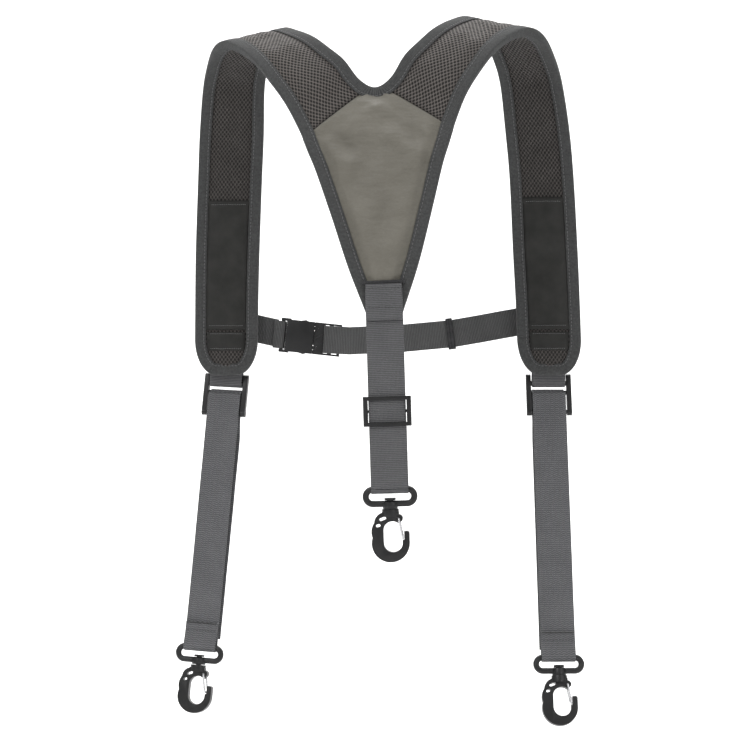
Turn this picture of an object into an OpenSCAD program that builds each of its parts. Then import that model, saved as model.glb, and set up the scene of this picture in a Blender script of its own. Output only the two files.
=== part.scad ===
/* [Yoke and pads] */
// Sideways roll of the yoke as it rests, tip towards +X, in degrees
yoke_lean = 3.4; // [0:0.1:5]
// Sideways drift of the pad ends, mm
pad_sway = 4; // [0:0.5:6]
// Total thickness at the sewn edge
pad_t = 7.4; // [6.8:0.1:9]
// How far the edge binding reaches in over each face
bind_w = 10; // [6:0.5:12]
// Binding tape thickness
bind_t = 0.8; // [0.5:0.1:0.9]
// Depth of the rounding at each pad end
end_round = 19.5; // [19:0.5:22]

/* [Webbing] */
// Width of the hanging straps
web_w = 30; // [25:1:31]
// Thickness of the hanging straps
web_t = 1.4; // [1:0.1:1.5]
// Width of the sternum strap
chest_w = 25; // [20:1:26]
// Length of the left hanging strap, hinge bar to ring bar
strap_left = 239; // [220:1:250]
// Length of the right hanging strap, hinge bar to ring bar
strap_right = 248; // [220:1:250]
// Length of the centre strap, yoke tip to ring bar
strap_back = 138.5; // [130:0.5:150]

/* [Hardware] */
// Radius of the bars that webbing wraps round
bar_r = 2.6; // [2.2:0.1:2.8]
// Inner radius of the hook's bowl
bowl_r = 7.6; // [7:0.1:8]
// Thickness of the hook
hook_t = 7.2; // [6:0.1:7.6]
// Radius of the swivel stem
stem_r = 2.5; // [2:0.1:2.8]
// Radial clearance of the swivel stem and of the gate pin
run_gap = 0.05; // [0.02:0.01:0.1]

/* [Hidden] */
$fn = 48;
LEFT = -1;
RIGHT = 1;
seam = 0.15;          // gap between sewn layers
edge_gap = 0.25;      // gap between a cover and the binding over it
cover_t = 1.1;        // outer mesh and lining thickness
canvas = "#7d7a70";
mesh_grey = "#554e4a";
tape = "#414242";
web_grey = "#696970";
plastic = "#1c1c1d";
steel = "#c8c8ca";
foam_grey = "#3a3a3c";
dark_cloth = "#2d2d2b";

// ---- rails: rows of [neck-side point, arm-side point] of the right half, outer face ----
// Rows 0-5 climb the spine, row 5 is the bottom of the neckline, rows 9-12 cross the
// shoulder and rows 13-19 run down the front pad. The left half is the mirror image.
RIBS = [
    [[0, 0, -243], [14.5, 0, -243]], [[0, 2, -205], [28, 3, -205]],
    [[0, 8, -165], [39.5, 8, -165]], [[0, 17, -125], [51, 16, -125]],
    [[0, 27, -88], [57.6, 21.2, -106]], [[0, 36, -57], [60.2, 24.2, -98]],
    [[13, 37, -49.5], [63.5, 28, -89]], [[25, 40, -32], [74, 34, -66]],
    [[37, 47, -20], [88, 44, -44]], [[50, 58, -8], [102, 57, -25]],
    [[64, 74, 1], [118, 76, -10]], [[78, 93, 7], [132, 97, -3]],
    [[90, 118, 2], [143, 115, -6]], [[99, 142, -14], [151, 134, -17]],
    [[105, 160, -36], [158, 153, -36]], [[108.5, 177, -75], [164.5, 173, -75]],
    [[112, 189, -118], [168.5, 187, -118]], [[115, 196, -182], [172, 195, -182]],
    [[117, 197, -235], [173.5, 197, -235]], [[118, 196, -293], [174.5, 196, -293]]];
LAST = len(RIBS) - 1;
NECK_ROW = 5;
PANEL_ROW = 6;
SEAM_ROW = 5.35;      // where the panel cloth is sewn to the pad's mesh
pivot_z = -20;        // height of the axis the yoke rolls about
pad_len = 293;

// Share of the yoke's roll that each row takes: neck side fades over the front of the
// shoulder, arm side starts to fade on the back of it.
function neck_share(i) = i < 2 ? 0.86 + 0.07 * i : i < 11 ? 1 : max(0, 1 - (i - 10) / 7);
function arm_share(i) = i < 2 ? 0.86 + 0.07 * i : i < 7 ? 1 : max(0, 1 - (i - 6) / 11);
function rolled(p, side, share, front) =
    let (a = yoke_lean * share, x = p[0] * side, z = p[2] - pivot_z)
    [x * cos(a) - z * sin(a) + (front ? pad_sway * max(0, -p[2]) / pad_len : 0),
     p[1], pivot_z + z * cos(a) + x * sin(a)];
function neck_knot(side, i) = rolled(RIBS[i][0], side, neck_share(i), i >= 12);
function arm_knot(side, i) = rolled(RIBS[i][1], side, arm_share(i), i >= 12);
SPINE = [for (i = [0:NECK_ROW]) neck_knot(RIGHT, i)];
function neckline_knots(side) =
    concat([neck_knot(-side, PANEL_ROW)], [for (i = [NECK_ROW:LAST]) neck_knot(side, i)]);
NECKLINE = [neckline_knots(LEFT), neckline_knots(RIGHT)];
ARM = [[for (i = [0:LAST]) arm_knot(LEFT, i)], [for (i = [0:LAST]) arm_knot(RIGHT, i)]];
function half(side) = side > 0 ? 1 : 0;

// ---- small vector helpers ----
function unit(v) = v / norm(v);
function mix(a, b, f) = a + (b - a) * f;
function smooth(x) = let (c = max(0, min(1, x))) c * c * (3 - 2 * c);
function knot(P, i) = i < 0 ? 2 * P[0] - P[1]
    : i >= len(P) ? 2 * P[len(P) - 1] - P[len(P) - 2] : P[i];
function catmull(a, b, c, d, f) =
    0.5 * (2 * b + (c - a) * f + (2 * a - 5 * b + 4 * c - d) * f * f
           + (3 * b - a - 3 * c + d) * f * f * f);
function spline(P, t) = let (i = max(0, min(floor(t), len(P) - 2)))
    catmull(knot(P, i - 1), P[i], P[i + 1], knot(P, i + 2), t - i);

// ---- the two edges of each half ----
function raw_neck(side, t) = t < NECK_ROW ? spline(SPINE, t)
    : spline(NECKLINE[half(side)], t - NECK_ROW + 1);
function raw_arm(side, t) = spline(ARM[half(side)], t);
END_START = 18.45;    // row value where the pad's end starts to round
function end_inset(t) = t <= END_START ? 0
    : let (u = min(1, (t - END_START) / (LAST - END_START))) end_round * (1 - sqrt(1 - u * u));
function neck_edge(side, t) = let (n = raw_neck(side, t), a = raw_arm(side, t))
    n + unit(a - n) * end_inset(t);
function arm_edge(side, t) = let (n = raw_neck(side, t), a = raw_arm(side, t))
    a - unit(a - n) * end_inset(t);
function slope(side, t, arm, h) = let (b = min(LAST, t + h), a = max(0, t - h))
    arm ? raw_arm(side, b) - raw_arm(side, a) : raw_neck(side, b) - raw_neck(side, a);
// Outward normal of the face, shared by both halves along the spine
function normal(side, t) =
    let (k = smooth((t - NECK_ROW) / 3),
         across = unit(mix(unit(raw_arm(RIGHT, t) - raw_arm(LEFT, t)) * side,
                           unit(raw_arm(side, t) - raw_neck(side, t)), k)),
         along = unit(slope(side, t, true, 0.3)) + k * unit(slope(side, t, false, 0.3)))
    unit(side * cross(across, along));
// Direction out of the panel, square to its edge
function edge_slope(side, t, arm) =
    let (b = min(LAST, t + 0.01), a = max(0, arm ? t - 0.01 : t < NECK_ROW ? t - 0.01 : max(NECK_ROW, t - 0.01)))
    arm ? arm_edge(side, b) - arm_edge(side, a) : neck_edge(side, b) - neck_edge(side, a);
function outward(side, t, arm) = let (s = unit(edge_slope(side, t, arm)), n = normal(side, t))
    unit(side * (arm ? cross(s, n) : cross(n, s)));

// ---- sewn layers ----
function lerp_list(a, b, n) = [for (i = [0:n]) a + (b - a) * i / n];
ROWS_BACK = concat(lerp_list(0, NECK_ROW, 12), lerp_list(NECK_ROW + 0.11, SEAM_ROW - 0.02, 2));
ROWS_PAD = concat(lerp_list(SEAM_ROW + 0.02, END_START, 38),
    [for (a = [18:18:72]) END_START + (LAST - END_START) * sin(a)], [LAST - 0.02]);
// One row of a layer: points across it at depth d below the outer face
function across(side, t, d, inset, columns) =
    let (on_spine = t <= NECK_ROW,
         n0 = neck_edge(side, t), a0 = arm_edge(side, t), nn = normal(side, t),
         drop = unit(SPINE[NECK_ROW - 1] - SPINE[NECK_ROW]) * inset * smooth(t - NECK_ROW + 1),
         a = on_spine ? n0 + drop : n0 - outward(side, t, false) * inset,
         b = a0 - outward(side, t, true) * inset)
    [for (c = [0:columns]) mix(a, b, c / columns) - nn * d];
module sheet(side, rows, d0, d1, inset, columns = 3) {
    n = columns + 1;
    m = len(rows);
    top = [for (t = rows) each across(side, t, d0, inset, columns)];
    low = [for (t = rows) each across(side, t, d1, inset, columns)];
    k = m * n;
    quads = [
        for (i = [0:m - 2], j = [0:columns - 1]) [i * n + j, i * n + j + 1, (i + 1) * n + j + 1, (i + 1) * n + j],
        for (i = [0:m - 2], j = [0:columns - 1])
            [k + i * n + j, k + (i + 1) * n + j, k + (i + 1) * n + j + 1, k + i * n + j + 1],
        for (i = [0:m - 2]) [i * n, (i + 1) * n, k + (i + 1) * n, k + i * n],
        for (i = [0:m - 2])
            [i * n + columns, k + i * n + columns, k + (i + 1) * n + columns, (i + 1) * n + columns],
        for (j = [0:columns - 1]) [j, k + j, k + j + 1, j + 1],
        for (j = [0:columns - 1])
            [(m - 1) * n + j, (m - 1) * n + j + 1, k + (m - 1) * n + j + 1, k + (m - 1) * n + j]];
    solid(concat(top, low), quads, side < 0);
}
// Quads split into triangles, turned the right way out
function triangles(quads, flip) = [for (q = quads) each flip
    ? [[q[0], q[1], q[2]], [q[0], q[2], q[3]]] : [[q[2], q[1], q[0]], [q[3], q[2], q[0]]]];
module solid(points, quads, flip) {
    polyhedron(points = points, faces = triangles(quads, flip), convexity = 8);
}
// A closed profile carried along a path of [point, across, up] frames
module sweep(frames, profile, flip = false) {
    n = len(profile);
    m = len(frames);
    points = [for (f = frames, p = profile) f[0] + f[1] * p[0] + f[2] * p[1]];
    walls = [for (i = [0:m - 2], j = [0:n - 1])
        let (a = i * n + j, b = i * n + (j + 1) % n) each [[a, b, b + n], [a, b + n, a + n]]];
    first = [for (j = [n - 1:-1:0]) j];
    last = [for (j = [0:n - 1]) (m - 1) * n + j];
    faces = concat(walls, [first], [last]);
    polyhedron(points = points, convexity = 8,
        faces = flip ? faces : [for (f = faces) [for (j = [len(f) - 1:-1:0]) f[j]]]);
}

layer_top = bind_t + edge_gap;
// The back panel's layers: one piece across the spine that parts into two at the neckline
module back_layer(d0, d1, columns = 3) {
    inset = bind_t + seam;
    m = len(ROWS_BACK);
    q = len([for (t = ROWS_BACK) if (t <= NECK_ROW) t]);
    wide = 2 * columns + 1;
    n = columns + 1;
    k = q * wide + 2 * (m - q) * n;
    id = function (side, i, j) i < q ? i * wide + columns + side * j
        : q * wide + half(side) * (m - q) * n + (i - q) * n + j;
    layer = function (d) concat(
        [for (i = [0:q - 1], j = [-columns:columns])
            across(j < 0 ? LEFT : RIGHT, ROWS_BACK[i], d, inset, columns)[abs(j)]],
        [for (side = [LEFT, RIGHT], i = [q:m - 1]) each across(side, ROWS_BACK[i], d, inset, columns)]);
    quads = function (side) [
        for (i = [0:m - 2], j = [0:columns - 1])
            [id(side, i, j), id(side, i, j + 1), id(side, i + 1, j + 1), id(side, i + 1, j)],
        for (i = [0:m - 2], j = [0:columns - 1])
            [k + id(side, i, j), k + id(side, i + 1, j), k + id(side, i + 1, j + 1), k + id(side, i, j + 1)],
        for (i = [q - 1:m - 2])
            [id(side, i, 0), id(side, i + 1, 0), k + id(side, i + 1, 0), k + id(side, i, 0)],
        for (i = [0:m - 2])
            [id(side, i, columns), k + id(side, i, columns),
             k + id(side, i + 1, columns), id(side, i + 1, columns)],
        for (j = [0:columns - 1])
            [id(side, 0, j), k + id(side, 0, j), k + id(side, 0, j + 1), id(side, 0, j + 1)],
        for (j = [0:columns - 1])
            [id(side, m - 1, j), id(side, m - 1, j + 1), k + id(side, m - 1, j + 1), k + id(side, m - 1, j)]];
    polyhedron(points = concat(layer(d0), layer(d1)), convexity = 8,
        faces = concat(triangles(quads(LEFT), true), triangles(quads(RIGHT), false)));
}
foam_top = layer_top + cover_t + seam;
foam_low = pad_t - foam_top;
module back_panel() { color(canvas) back_layer(layer_top, layer_top + cover_t); }
module back_foam() { color(foam_grey) back_layer(foam_top, foam_low); }
module back_lining() { color(mesh_grey) back_layer(foam_low + seam, foam_low + seam + cover_t); }
module shoulder_mesh(side) {
    color(mesh_grey) sheet(side, ROWS_PAD, layer_top, layer_top + cover_t, bind_t + seam);
}
module pad_foam(side) { color(foam_grey) sheet(side, ROWS_PAD, foam_top, foam_low, bind_t + seam); }
module pad_lining(side) {
    color(mesh_grey) sheet(side, ROWS_PAD, foam_low + seam, foam_low + seam + cover_t, bind_t + seam);
}

// ---- edge binding: a U of tape folded over the sewn edge ----
BIND_PROFILE = [[0, 0], [0, -pad_t], [-bind_w, -pad_t], [-bind_w, bind_t - pad_t],
    [-bind_t, bind_t - pad_t], [-bind_t, -bind_t], [-bind_w, -bind_t], [-bind_w, 0]];
// The tape's legs follow the straight rows of the face they lie on, up to the pad's rounded end
function face_way(side, t, arm) =
    let (own = unit(raw_neck(side, t) - raw_arm(side, t)), up = unit(SPINE[NECK_ROW] - SPINE[NECK_ROW - 1]))
    arm ? -own : unit(mix(up, own, smooth((t - NECK_ROW) * 2)));
function edge_frame(side, t, arm) =
    let (out = outward(side, t, arm), nn = normal(side, t), way = face_way(side, t, arm),
         leg = t >= 18 ? out : mix(way / (way * out), out, smooth(t - 17)))
    [arm ? arm_edge(side, t) : neck_edge(side, t), leg, nn];
CORNER_ROWS = [for (a = [15:15:75]) END_START + (LAST - END_START) * sin(a)];
function end_frames(side) =
    let (a = arm_edge(side, LAST), n = neck_edge(side, LAST), nn = normal(side, LAST - 0.01),
         down = unit(side * cross(unit(n - a), nn)))
    [for (f = [0:0.25:1]) [mix(a, n, f), down, nn]];
function reversed(v) = [for (i = [len(v) - 1:-1:0]) v[i]];
module binding_arm(side) {
    rows = concat(lerp_list(0, END_START, 52), CORNER_ROWS);
    frames = concat([for (t = rows) edge_frame(side, t, true)], end_frames(side),
        [for (t = reversed(CORNER_ROWS)) edge_frame(side, t, false)]);
    color(tape) sweep(frames, BIND_PROFILE, side < 0);
}
module binding_neck() {
    rows = lerp_list(NECK_ROW + 0.25, END_START - 0.05, 38);
    frames = concat([for (t = reversed(rows)) edge_frame(LEFT, t, false)],
        [edge_frame(RIGHT, NECK_ROW, false)],
        [for (t = rows) edge_frame(RIGHT, t, false)]);
    color(tape) sweep(frames, BIND_PROFILE, true);
}

// ---- reinforcement on the inner face of each pad ----
module pad_strip(side, from, to, margin, thick) {
    color(dark_cloth)
    sheet(side, lerp_list(from, to, 8), foam_low + 2 * seam + cover_t,
        foam_low + 2 * seam + cover_t + thick, bind_w + margin);
}
module chest_patch(side) { pad_strip(side, 16.27, 18.3, 1, 1); }
module chest_tab(side) { pad_strip(side, 18.34, 18.62, 3, 2); }

// ---- webbing ribbons that stay flat in X: a path of [y, z] centre points ----
module ribbon(path, width, thick) {
    m = len(path);
    frames = [for (i = [0:m - 1])
        let (s = unit(path[min(m - 1, i + 1)] - path[max(0, i - 1)]))
        [[0, path[i][0], path[i][1]], [1, 0, 0], [0, s[1], -s[0]]]];
    sweep(frames, [[-width / 2, -thick / 2], [width / 2, -thick / 2],
                   [width / 2, thick / 2], [-width / 2, thick / 2]], true);
}
function arc_path(r, a0, a1, y = 0, z = 0, steps = 10) =
    [for (i = [0:steps]) let (a = a0 + (a1 - a0) * i / steps) [y + r * cos(a), z + r * sin(a)]];

// ---- left and right hanging straps ----
// Hinge bar of each ladder lock, with the strap's lean, yaw and swing in degrees
HANG = [[[-143.5, 203.2, -300.5], 3.1, -8, 9.5], [[149, 202.1, -300.5], -0.2, 4, 17.8]];
function strap_len(side) = side < 0 ? strap_left : strap_right;
module at_pad_end(side) {
    h = HANG[half(side)];
    translate(h[0]) rotate([0, h[1], 0]) rotate([0, 0, h[2]]) children();
}
module on_strap(side) { at_pad_end(side) rotate([-HANG[half(side)][3], 0, 0]) children(); }

loop_r = bar_r + 0.35 + web_t / 2;   // centre radius of webbing round a bar
lock_bar_r = 2.3;
lock_web_z = -8.9;                   // web bar below the hinge bar
wrap_r = 2.15 + web_t / 2;           // centre radius of the strap round the web bar
tail_y = 8.4;
module pad_loop(side) {
    r = 2.75 + web_t / 2;
    path = concat([[-r, 26], [-r, 8]], arc_path(r, 180, 360), [[r, 6], [web_t + 0.1 - r, 18],
        [web_t + 0.1 - r, 26]]);
    color(web_grey) at_pad_end(side) ribbon(path, web_w, web_t);
}
module ladder_lock(side) {
    rail_t = 4.4;
    color(plastic) on_strap(side) {
        for (x = [-20.3, 20.3 - rail_t]) translate([x, 0, 0]) rotate([90, 0, 90])
            linear_extrude(rail_t) {
                translate([0, 5.9]) circle(2.6);
                translate([-2.6, -26]) square([5.2, 31.9]);
                translate([0.6, -27]) circle(3.2);
            }
        for (b = [[0, 0, lock_bar_r], [0, lock_web_z, 2], [0.1, -27, 1.9]])
            translate([-16.5, b[0], b[1]]) rotate([0, 90, 0]) cylinder(r = b[2], h = 33);
    }
}
module leg_web(side) {
    color(web_grey) on_strap(side)
        ribbon([[-wrap_r, lock_web_z - 0.3], [-wrap_r, -34], [-0.2, 60 - strap_len(side)],
                [-0.2, 20.4 - strap_len(side)]], web_w, web_t);
}
module leg_tail(side) {
    path = concat(arc_path(wrap_r, 180, 0, 0, lock_web_z),
        [[wrap_r, -20], [wrap_r, -33], [tail_y, -50], [tail_y, 8 - strap_len(side)]]);
    color(web_grey) on_strap(side) translate([-side, 0, 0]) ribbon(path, web_w - 1, web_t);
}
module leg_fold(side) {
    path = concat([[-2, 22], [-2.1, 12], [-loop_r, 3]], arc_path(loop_r, 180, 360),
        [[loop_r, 3], [-0.2 + web_t + 0.5, 11], [-0.2, 16], [-0.2, 20]]);
    color(web_grey) on_strap(side) translate([0, 0, -strap_len(side)]) ribbon(path, web_w - 0.4, web_t);
}

// ---- swivel ring, snap hook and gate, hung from the ring's top bar at the origin ----
ring_x = 13.7;        // centre of each end curve
ring_r = 5.8;         // radius of each end curve
boss_r = 6;
stem_top = -6.9;
collar_z = -15.9;
module swivel_ring() {
    difference() {
        union() {
            for (z = [0, -2 * ring_r]) translate([-ring_x, 0, z]) rotate([0, 90, 0])
                cylinder(r = bar_r, h = 2 * ring_x);
            for (s = [-1, 1]) translate([s * ring_x, 0, -ring_r]) rotate([90, s * 90, 0])
                rotate_extrude(angle = 180) translate([ring_r, 0]) circle(bar_r);
            translate([0, 0, collar_z + 0.3]) cylinder(r = boss_r, h = 5.6);
        }
        translate([0, 0, -20]) cylinder(r = stem_r + run_gap, h = 12);
    }
}
// Outline of the hook seen from the front, y upwards from the ring's bar
bowl = [1.6, -42.8];
eye_top = -33.2;      // centre of the round top of the hook's eye
gate_pin = [6.6, -23.4];
module hook_outline() {
    difference() {
        union() {
            translate([-0.4, -43.2]) circle(15.2);
            translate([-2.8, -34]) circle(12.8);
            translate([-4.6, -27]) circle(8.6);
            translate([-6.8, -22.5]) square([13.6, 4.4]);
            translate([gate_pin[0], gate_pin[1]]) circle(3.2);
            translate([-4, -26.5]) square([11, 6]);
            translate([8.6, -42.8]) square([6.2, 7.2]);
            translate([12.7, -35.6]) circle(2.1);
        }
        translate(bowl) circle(bowl_r);
        translate([bowl[0], eye_top]) circle(bowl_r);
        translate([bowl[0] - bowl_r, bowl[1]]) square([2 * bowl_r, eye_top - bowl[1]]);
        translate([7, -40.8]) square([3.6, 14.1]);
        translate([7, -33.6]) square([9, 6.9]);
        for (s = [[-7.9, -24.2, -4.7, -23], [-10.8, -29.2, -9.4, -28.7]]) hull() {
            translate([s[0], s[1]]) circle(1.2, $fn = 24);
            translate([s[2], s[3]]) circle(1.2, $fn = 24);
        }
    }
}
module snap_hook() {
    difference() {
        union() {
            rotate([90, 0, 0]) translate([0, 0, -hook_t / 2]) linear_extrude(hook_t) hook_outline();
            translate([0, 0, -21.8]) cylinder(r = 6.8, h = 21.8 + collar_z);
            translate([0, 0, -20]) cylinder(r = stem_r, h = 20 + stem_top - 1);
            translate([0, 0, stem_top - 1.8]) cylinder(r = 4.6, h = 1.8);
        }
        translate([gate_pin[0], 10, gate_pin[1]]) rotate([90, 0, 0]) cylinder(r = 0.9 + run_gap, h = 20);
    }
}
gate_y = 4.9;         // half the spread of the gate's two legs
gate_tip = [9.4, -39.2];
module rod(a, b, r) {
    d = b - a;
    translate(a) rotate([0, acos(d[2] / norm(d)), atan2(d[1], d[0])]) cylinder(r = r, h = norm(d));
}
module hook_gate() {
    p = gate_pin;
    q = gate_tip;
    wire_r = 0.8;
    pin_r = 0.9;
    ends = gate_y + 1;
    for (s = [-1, 1]) rod([p[0], s * gate_y, p[1]], [q[0], s * gate_y, q[1]], wire_r);
    for (c = [p, q]) rod([c[0], -ends, c[1]], [c[0], ends, c[1]], pin_r);
}
module leg_ring(side) { color(plastic) on_strap(side) translate([0, 0, -strap_len(side)]) swivel_ring(); }
module leg_hook(side) { color(plastic) on_strap(side) translate([0, 0, -strap_len(side)]) snap_hook(); }
module leg_gate(side) { color(steel) on_strap(side) translate([0, 0, -strap_len(side)]) hook_gate(); }

// ---- centre strap on the back ----
back_lean = -1.7;     // the strap hangs plumb on a rolled yoke
back_top = [11.5, 2.7, -246];
slider_z = -76;       // slider centre below the yoke tip
module on_back() { translate(back_top) rotate([0, back_lean, 0]) children(); }
front_y = -loop_r;    // centre plane of the strap's front run
module back_anchor() {
    color(web_grey) on_back() ribbon([[front_y - 3.1, -3], [front_y - 2.4, 0], [front_y - web_t - 0.3, 5],
        [front_y - web_t - 0.3, 26]], web_w - 1, web_t);
}
module back_web() {
    color(web_grey) on_back() ribbon([[front_y, 22], [front_y, 0.3 - strap_back]], web_w, web_t);
}
strip_t = 0.9;        // the doubled run behind is made of two thinner strips
strip_y = 1.3;        // centre plane of the strip that rides with the slider
module back_fold() {
    path = concat(arc_path(loop_r, 180, 360), [[loop_r, 3], [strip_y + 1.3, 14], [strip_y + 1.3, 50]]);
    color(web_grey) on_back() translate([0, 0, -strap_back]) ribbon(path, web_w, strip_t);
}
slider_bar = [-0.5, 0];
module back_slider() {
    color(plastic) on_back() translate([0, 0, slider_z]) {
        for (s = [-1, 1]) translate([s * 17.4 - 1.8, -6.6, -12]) cube([3.6, 7.5, 24]);
        for (z = [10.4, -10.4]) translate([-17, -5.8, z]) rotate([0, 90, 0]) {
            cylinder(r = 0.85, h = 34);
            translate([-1.6, -0.85, 0]) cube([3.2, 1.7, 34]);
        }
        translate([-17, slider_bar[0], 0]) rotate([0, 90, 0]) cylinder(r = 1.2, h = 34);
    }
}
module slider_web() {
    r = 1.35 + strip_t / 2;
    path = concat([[strip_y - 0.2 - strip_t, -18], [slider_bar[0] - 0.4, -8], [slider_bar[0] - r, -1.5]],
        arc_path(r, 180, 0, slider_bar[0], 0),
        [[slider_bar[0] + r, -2], [strip_y, -7], [strip_y, -52]]);
    color(web_grey) on_back() translate([0, 0, slider_z]) ribbon(path, web_w - 0.4, strip_t);
}
module on_back_ring() { on_back() translate([0, 0, -strap_back]) children(); }

// ---- sternum strap: a ribbon on edge, bulging forward between the pads ----
chest_y = 197.6;
chest_bulge = 8;
function chest_at(x) = chest_y + chest_bulge * max(0, 1 - pow((x - 5) / 125, 2));
CHEST = [[-131, -247], [-112, -251.5], [-94, -255.5], [-66, -260], [-31, -262], [18, -259.7],
    [61, -255.7], [87, -251.2], [110, -247], [140, -242]];
function chest_point(x) =
    let (i = [for (k = [0:len(CHEST) - 2]) if (x >= CHEST[k][0] || k == 0) k],
         k = i[len(i) - 1], f = (x - CHEST[k][0]) / (CHEST[k + 1][0] - CHEST[k][0]))
    [x, chest_at(x), mix(CHEST[k][1], CHEST[k + 1][1], f)];
module chest_ribbon(x0, x1, steps, shift, width = chest_w, thick = 1.2) {
    frames = [for (i = [0:steps])
        let (x = x0 + (x1 - x0) * i / steps, s = unit(chest_point(x + 2) - chest_point(x - 2)),
             out = unit(cross([0, 0, 1], s)), up = cross(s, out))
        [chest_point(x) + out * shift(x), up, out]];
    sweep(frames, [[-width / 2, -thick / 2], [width / 2, -thick / 2], [width / 2, thick / 2],
                   [-width / 2, thick / 2]], true);
}
buckle_at = [-66, 202.9, -259.2];
module on_buckle() { translate(buckle_at) rotate([0, 0, 4.2]) rotate([0, 6, 0]) children(); }
web_bar_x = -26.4;
// How far forward of the strap's centre line each layer runs: the right run starts behind
// the buckle's ladder end, its free tail in front of it, and both end on the pad's outer face.
left_run = function (x) 2.6;
right_run = function (x) mix(-4.4, 1.8, smooth((x - 15) / 80));
free_tail = function (x) mix(4.4, right_run(x) + 1.4, smooth((x + 30) / 40));
keeper_mid = function (x) right_run(x) + 0.7;
module sternum_web_left() {
    fold_r = 2.45;
    color(web_grey) {
        chest_ribbon(-131, -97.4, 6, left_run);
        on_buckle() for (s = [-1, 1])
            translate([-30.6, s * 2.5 - 0.55, -chest_w / 2]) cube([4.2, 1.1, chest_w]);
        on_buckle() difference() {
            translate([web_bar_x, 0, -chest_w / 2]) cylinder(r = fold_r + 0.6, h = chest_w);
            translate([web_bar_x, 0, -chest_w]) cylinder(r = 1.9, h = 2 * chest_w);
            translate([web_bar_x - 10, -5, -chest_w]) cube([10, 10, 2 * chest_w]);
        }
    }
}
module sternum_web_right() { color(web_grey) chest_ribbon(-56.6, 137, 16, right_run); }
module sternum_tail() { color(web_grey) chest_ribbon(-36, 67, 9, free_tail, chest_w - 1, 1); }
module sternum_keeper() {
    color(tape) difference() {
        chest_ribbon(57.6, 63.6, 2, keeper_mid, chest_w + 3.4, 5);
        chest_ribbon(50, 70, 4, keeper_mid, chest_w + 1.2, 3.4);
    }
}

// ---- side-release buckle, x along the strap, z across it ----
cavity_z = 11.6;
module buckle_female() {
    color(plastic) on_buckle() difference() {
        union() {
            translate([-28.4, -3, -15.6]) cube([9, 6, 2.6]);
            translate([-28.4, -3, 13]) cube([9, 6, 2.6]);
            translate([-23.2, -4, -14.6]) cube([25.2, 8, 29.2]);
            translate([web_bar_x, 0, -14]) cylinder(r = 1.7, h = 28);
        }
        translate([-18, -2.5, -cavity_z]) cube([30, 5, 2 * cavity_z]);
        for (z = [-18, cavity_z - 1]) translate([-13.4, -2.5, z]) cube([11.6, 5, 7.4]);
    }
}
module buckle_male() {
    color(plastic) on_buckle() {
        difference() {
            translate([2.6, -3.4, -14.6]) cube([24.4, 6.8, 29.2]);
            translate([12.2, -5, -13]) cube([3.4, 10, 26]);
            translate([19.4, -5, -13]) cube([4.8, 10, 26]);
            for (z = [-8.6, 8.6]) translate([2, -2.3, z - 2.6]) cube([5.4, 4.6, 5.2]);
            for (z = [-8.6, 8.6]) translate([4.6, 5, z]) rotate([90, 0, 0]) cylinder(r = 1.2 + run_gap, h = 10);
        }
        translate([-14, -1.6, -1.9]) cube([17, 3.2, 3.8]);
    }
}
module buckle_arm(up) {
    color(plastic) on_buckle() mirror([0, 0, up > 0 ? 0 : 1]) {
        translate([4.6, 3.3, 8.6]) rotate([90, 0, 0]) cylinder(r = 1.2, h = 6.6);
        rotate([90, 0, 0]) translate([0, 0, -2]) linear_extrude(4)
            polygon([[4.6, 7], [5.6, 8.6], [4.6, 10.2], [-2.6, 10.6], [-3, 14.4], [-6, 15.6],
                     [-10, 14.8], [-12.6, 11], [-15, 8.4], [-11, 7.6], [-2, 7.8]]);
    }
}

back_panel();
back_foam();
back_lining();
shoulder_mesh(LEFT);  // shoulder_mesh_left
shoulder_mesh(RIGHT);  // shoulder_mesh_right
pad_foam(LEFT);  // pad_foam_left
pad_foam(RIGHT);  // pad_foam_right
pad_lining(LEFT);  // pad_lining_left
pad_lining(RIGHT);  // pad_lining_right
binding_arm(LEFT);  // binding_left
binding_arm(RIGHT);  // binding_right
binding_neck();
chest_patch(LEFT);  // chest_patch_left
chest_patch(RIGHT);  // chest_patch_right
chest_tab(LEFT);  // chest_tab_left
chest_tab(RIGHT);  // chest_tab_right
pad_loop(LEFT);  // pad_loop_left
pad_loop(RIGHT);  // pad_loop_right
ladder_lock(LEFT);  // ladder_lock_left
ladder_lock(RIGHT);  // ladder_lock_right
leg_web(LEFT);  // leg_web_left
leg_web(RIGHT);  // leg_web_right
leg_tail(LEFT);  // leg_tail_left
leg_tail(RIGHT);  // leg_tail_right
leg_fold(LEFT);  // leg_fold_left
leg_fold(RIGHT);  // leg_fold_right
leg_ring(LEFT);  // swivel_ring_left
leg_ring(RIGHT);  // swivel_ring_right
leg_hook(LEFT);  // snap_hook_left
leg_hook(RIGHT);  // snap_hook_right
leg_gate(LEFT);  // hook_gate_left
leg_gate(RIGHT);  // hook_gate_right
back_anchor();
back_web();
back_fold();
back_slider();
slider_web();
color(plastic) on_back_ring() swivel_ring();  // swivel_ring_back
color(plastic) on_back_ring() snap_hook();  // snap_hook_back
color(steel) on_back_ring() hook_gate();  // hook_gate_back
sternum_web_left();
sternum_web_right();
sternum_tail();
sternum_keeper();
buckle_female();
buckle_male();
buckle_arm(1);  // buckle_arm_upper
buckle_arm(-1);  // buckle_arm_lower
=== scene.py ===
"""Padded shoulder harness seen from the wearer's back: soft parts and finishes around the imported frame.
Lengths are in millimetres up to the point where a mesh is made; MM turns them into metres."""
import math
import random

import bmesh
import bpy
import numpy as np
from mathutils import Matrix, Vector, kdtree, noise


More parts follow.
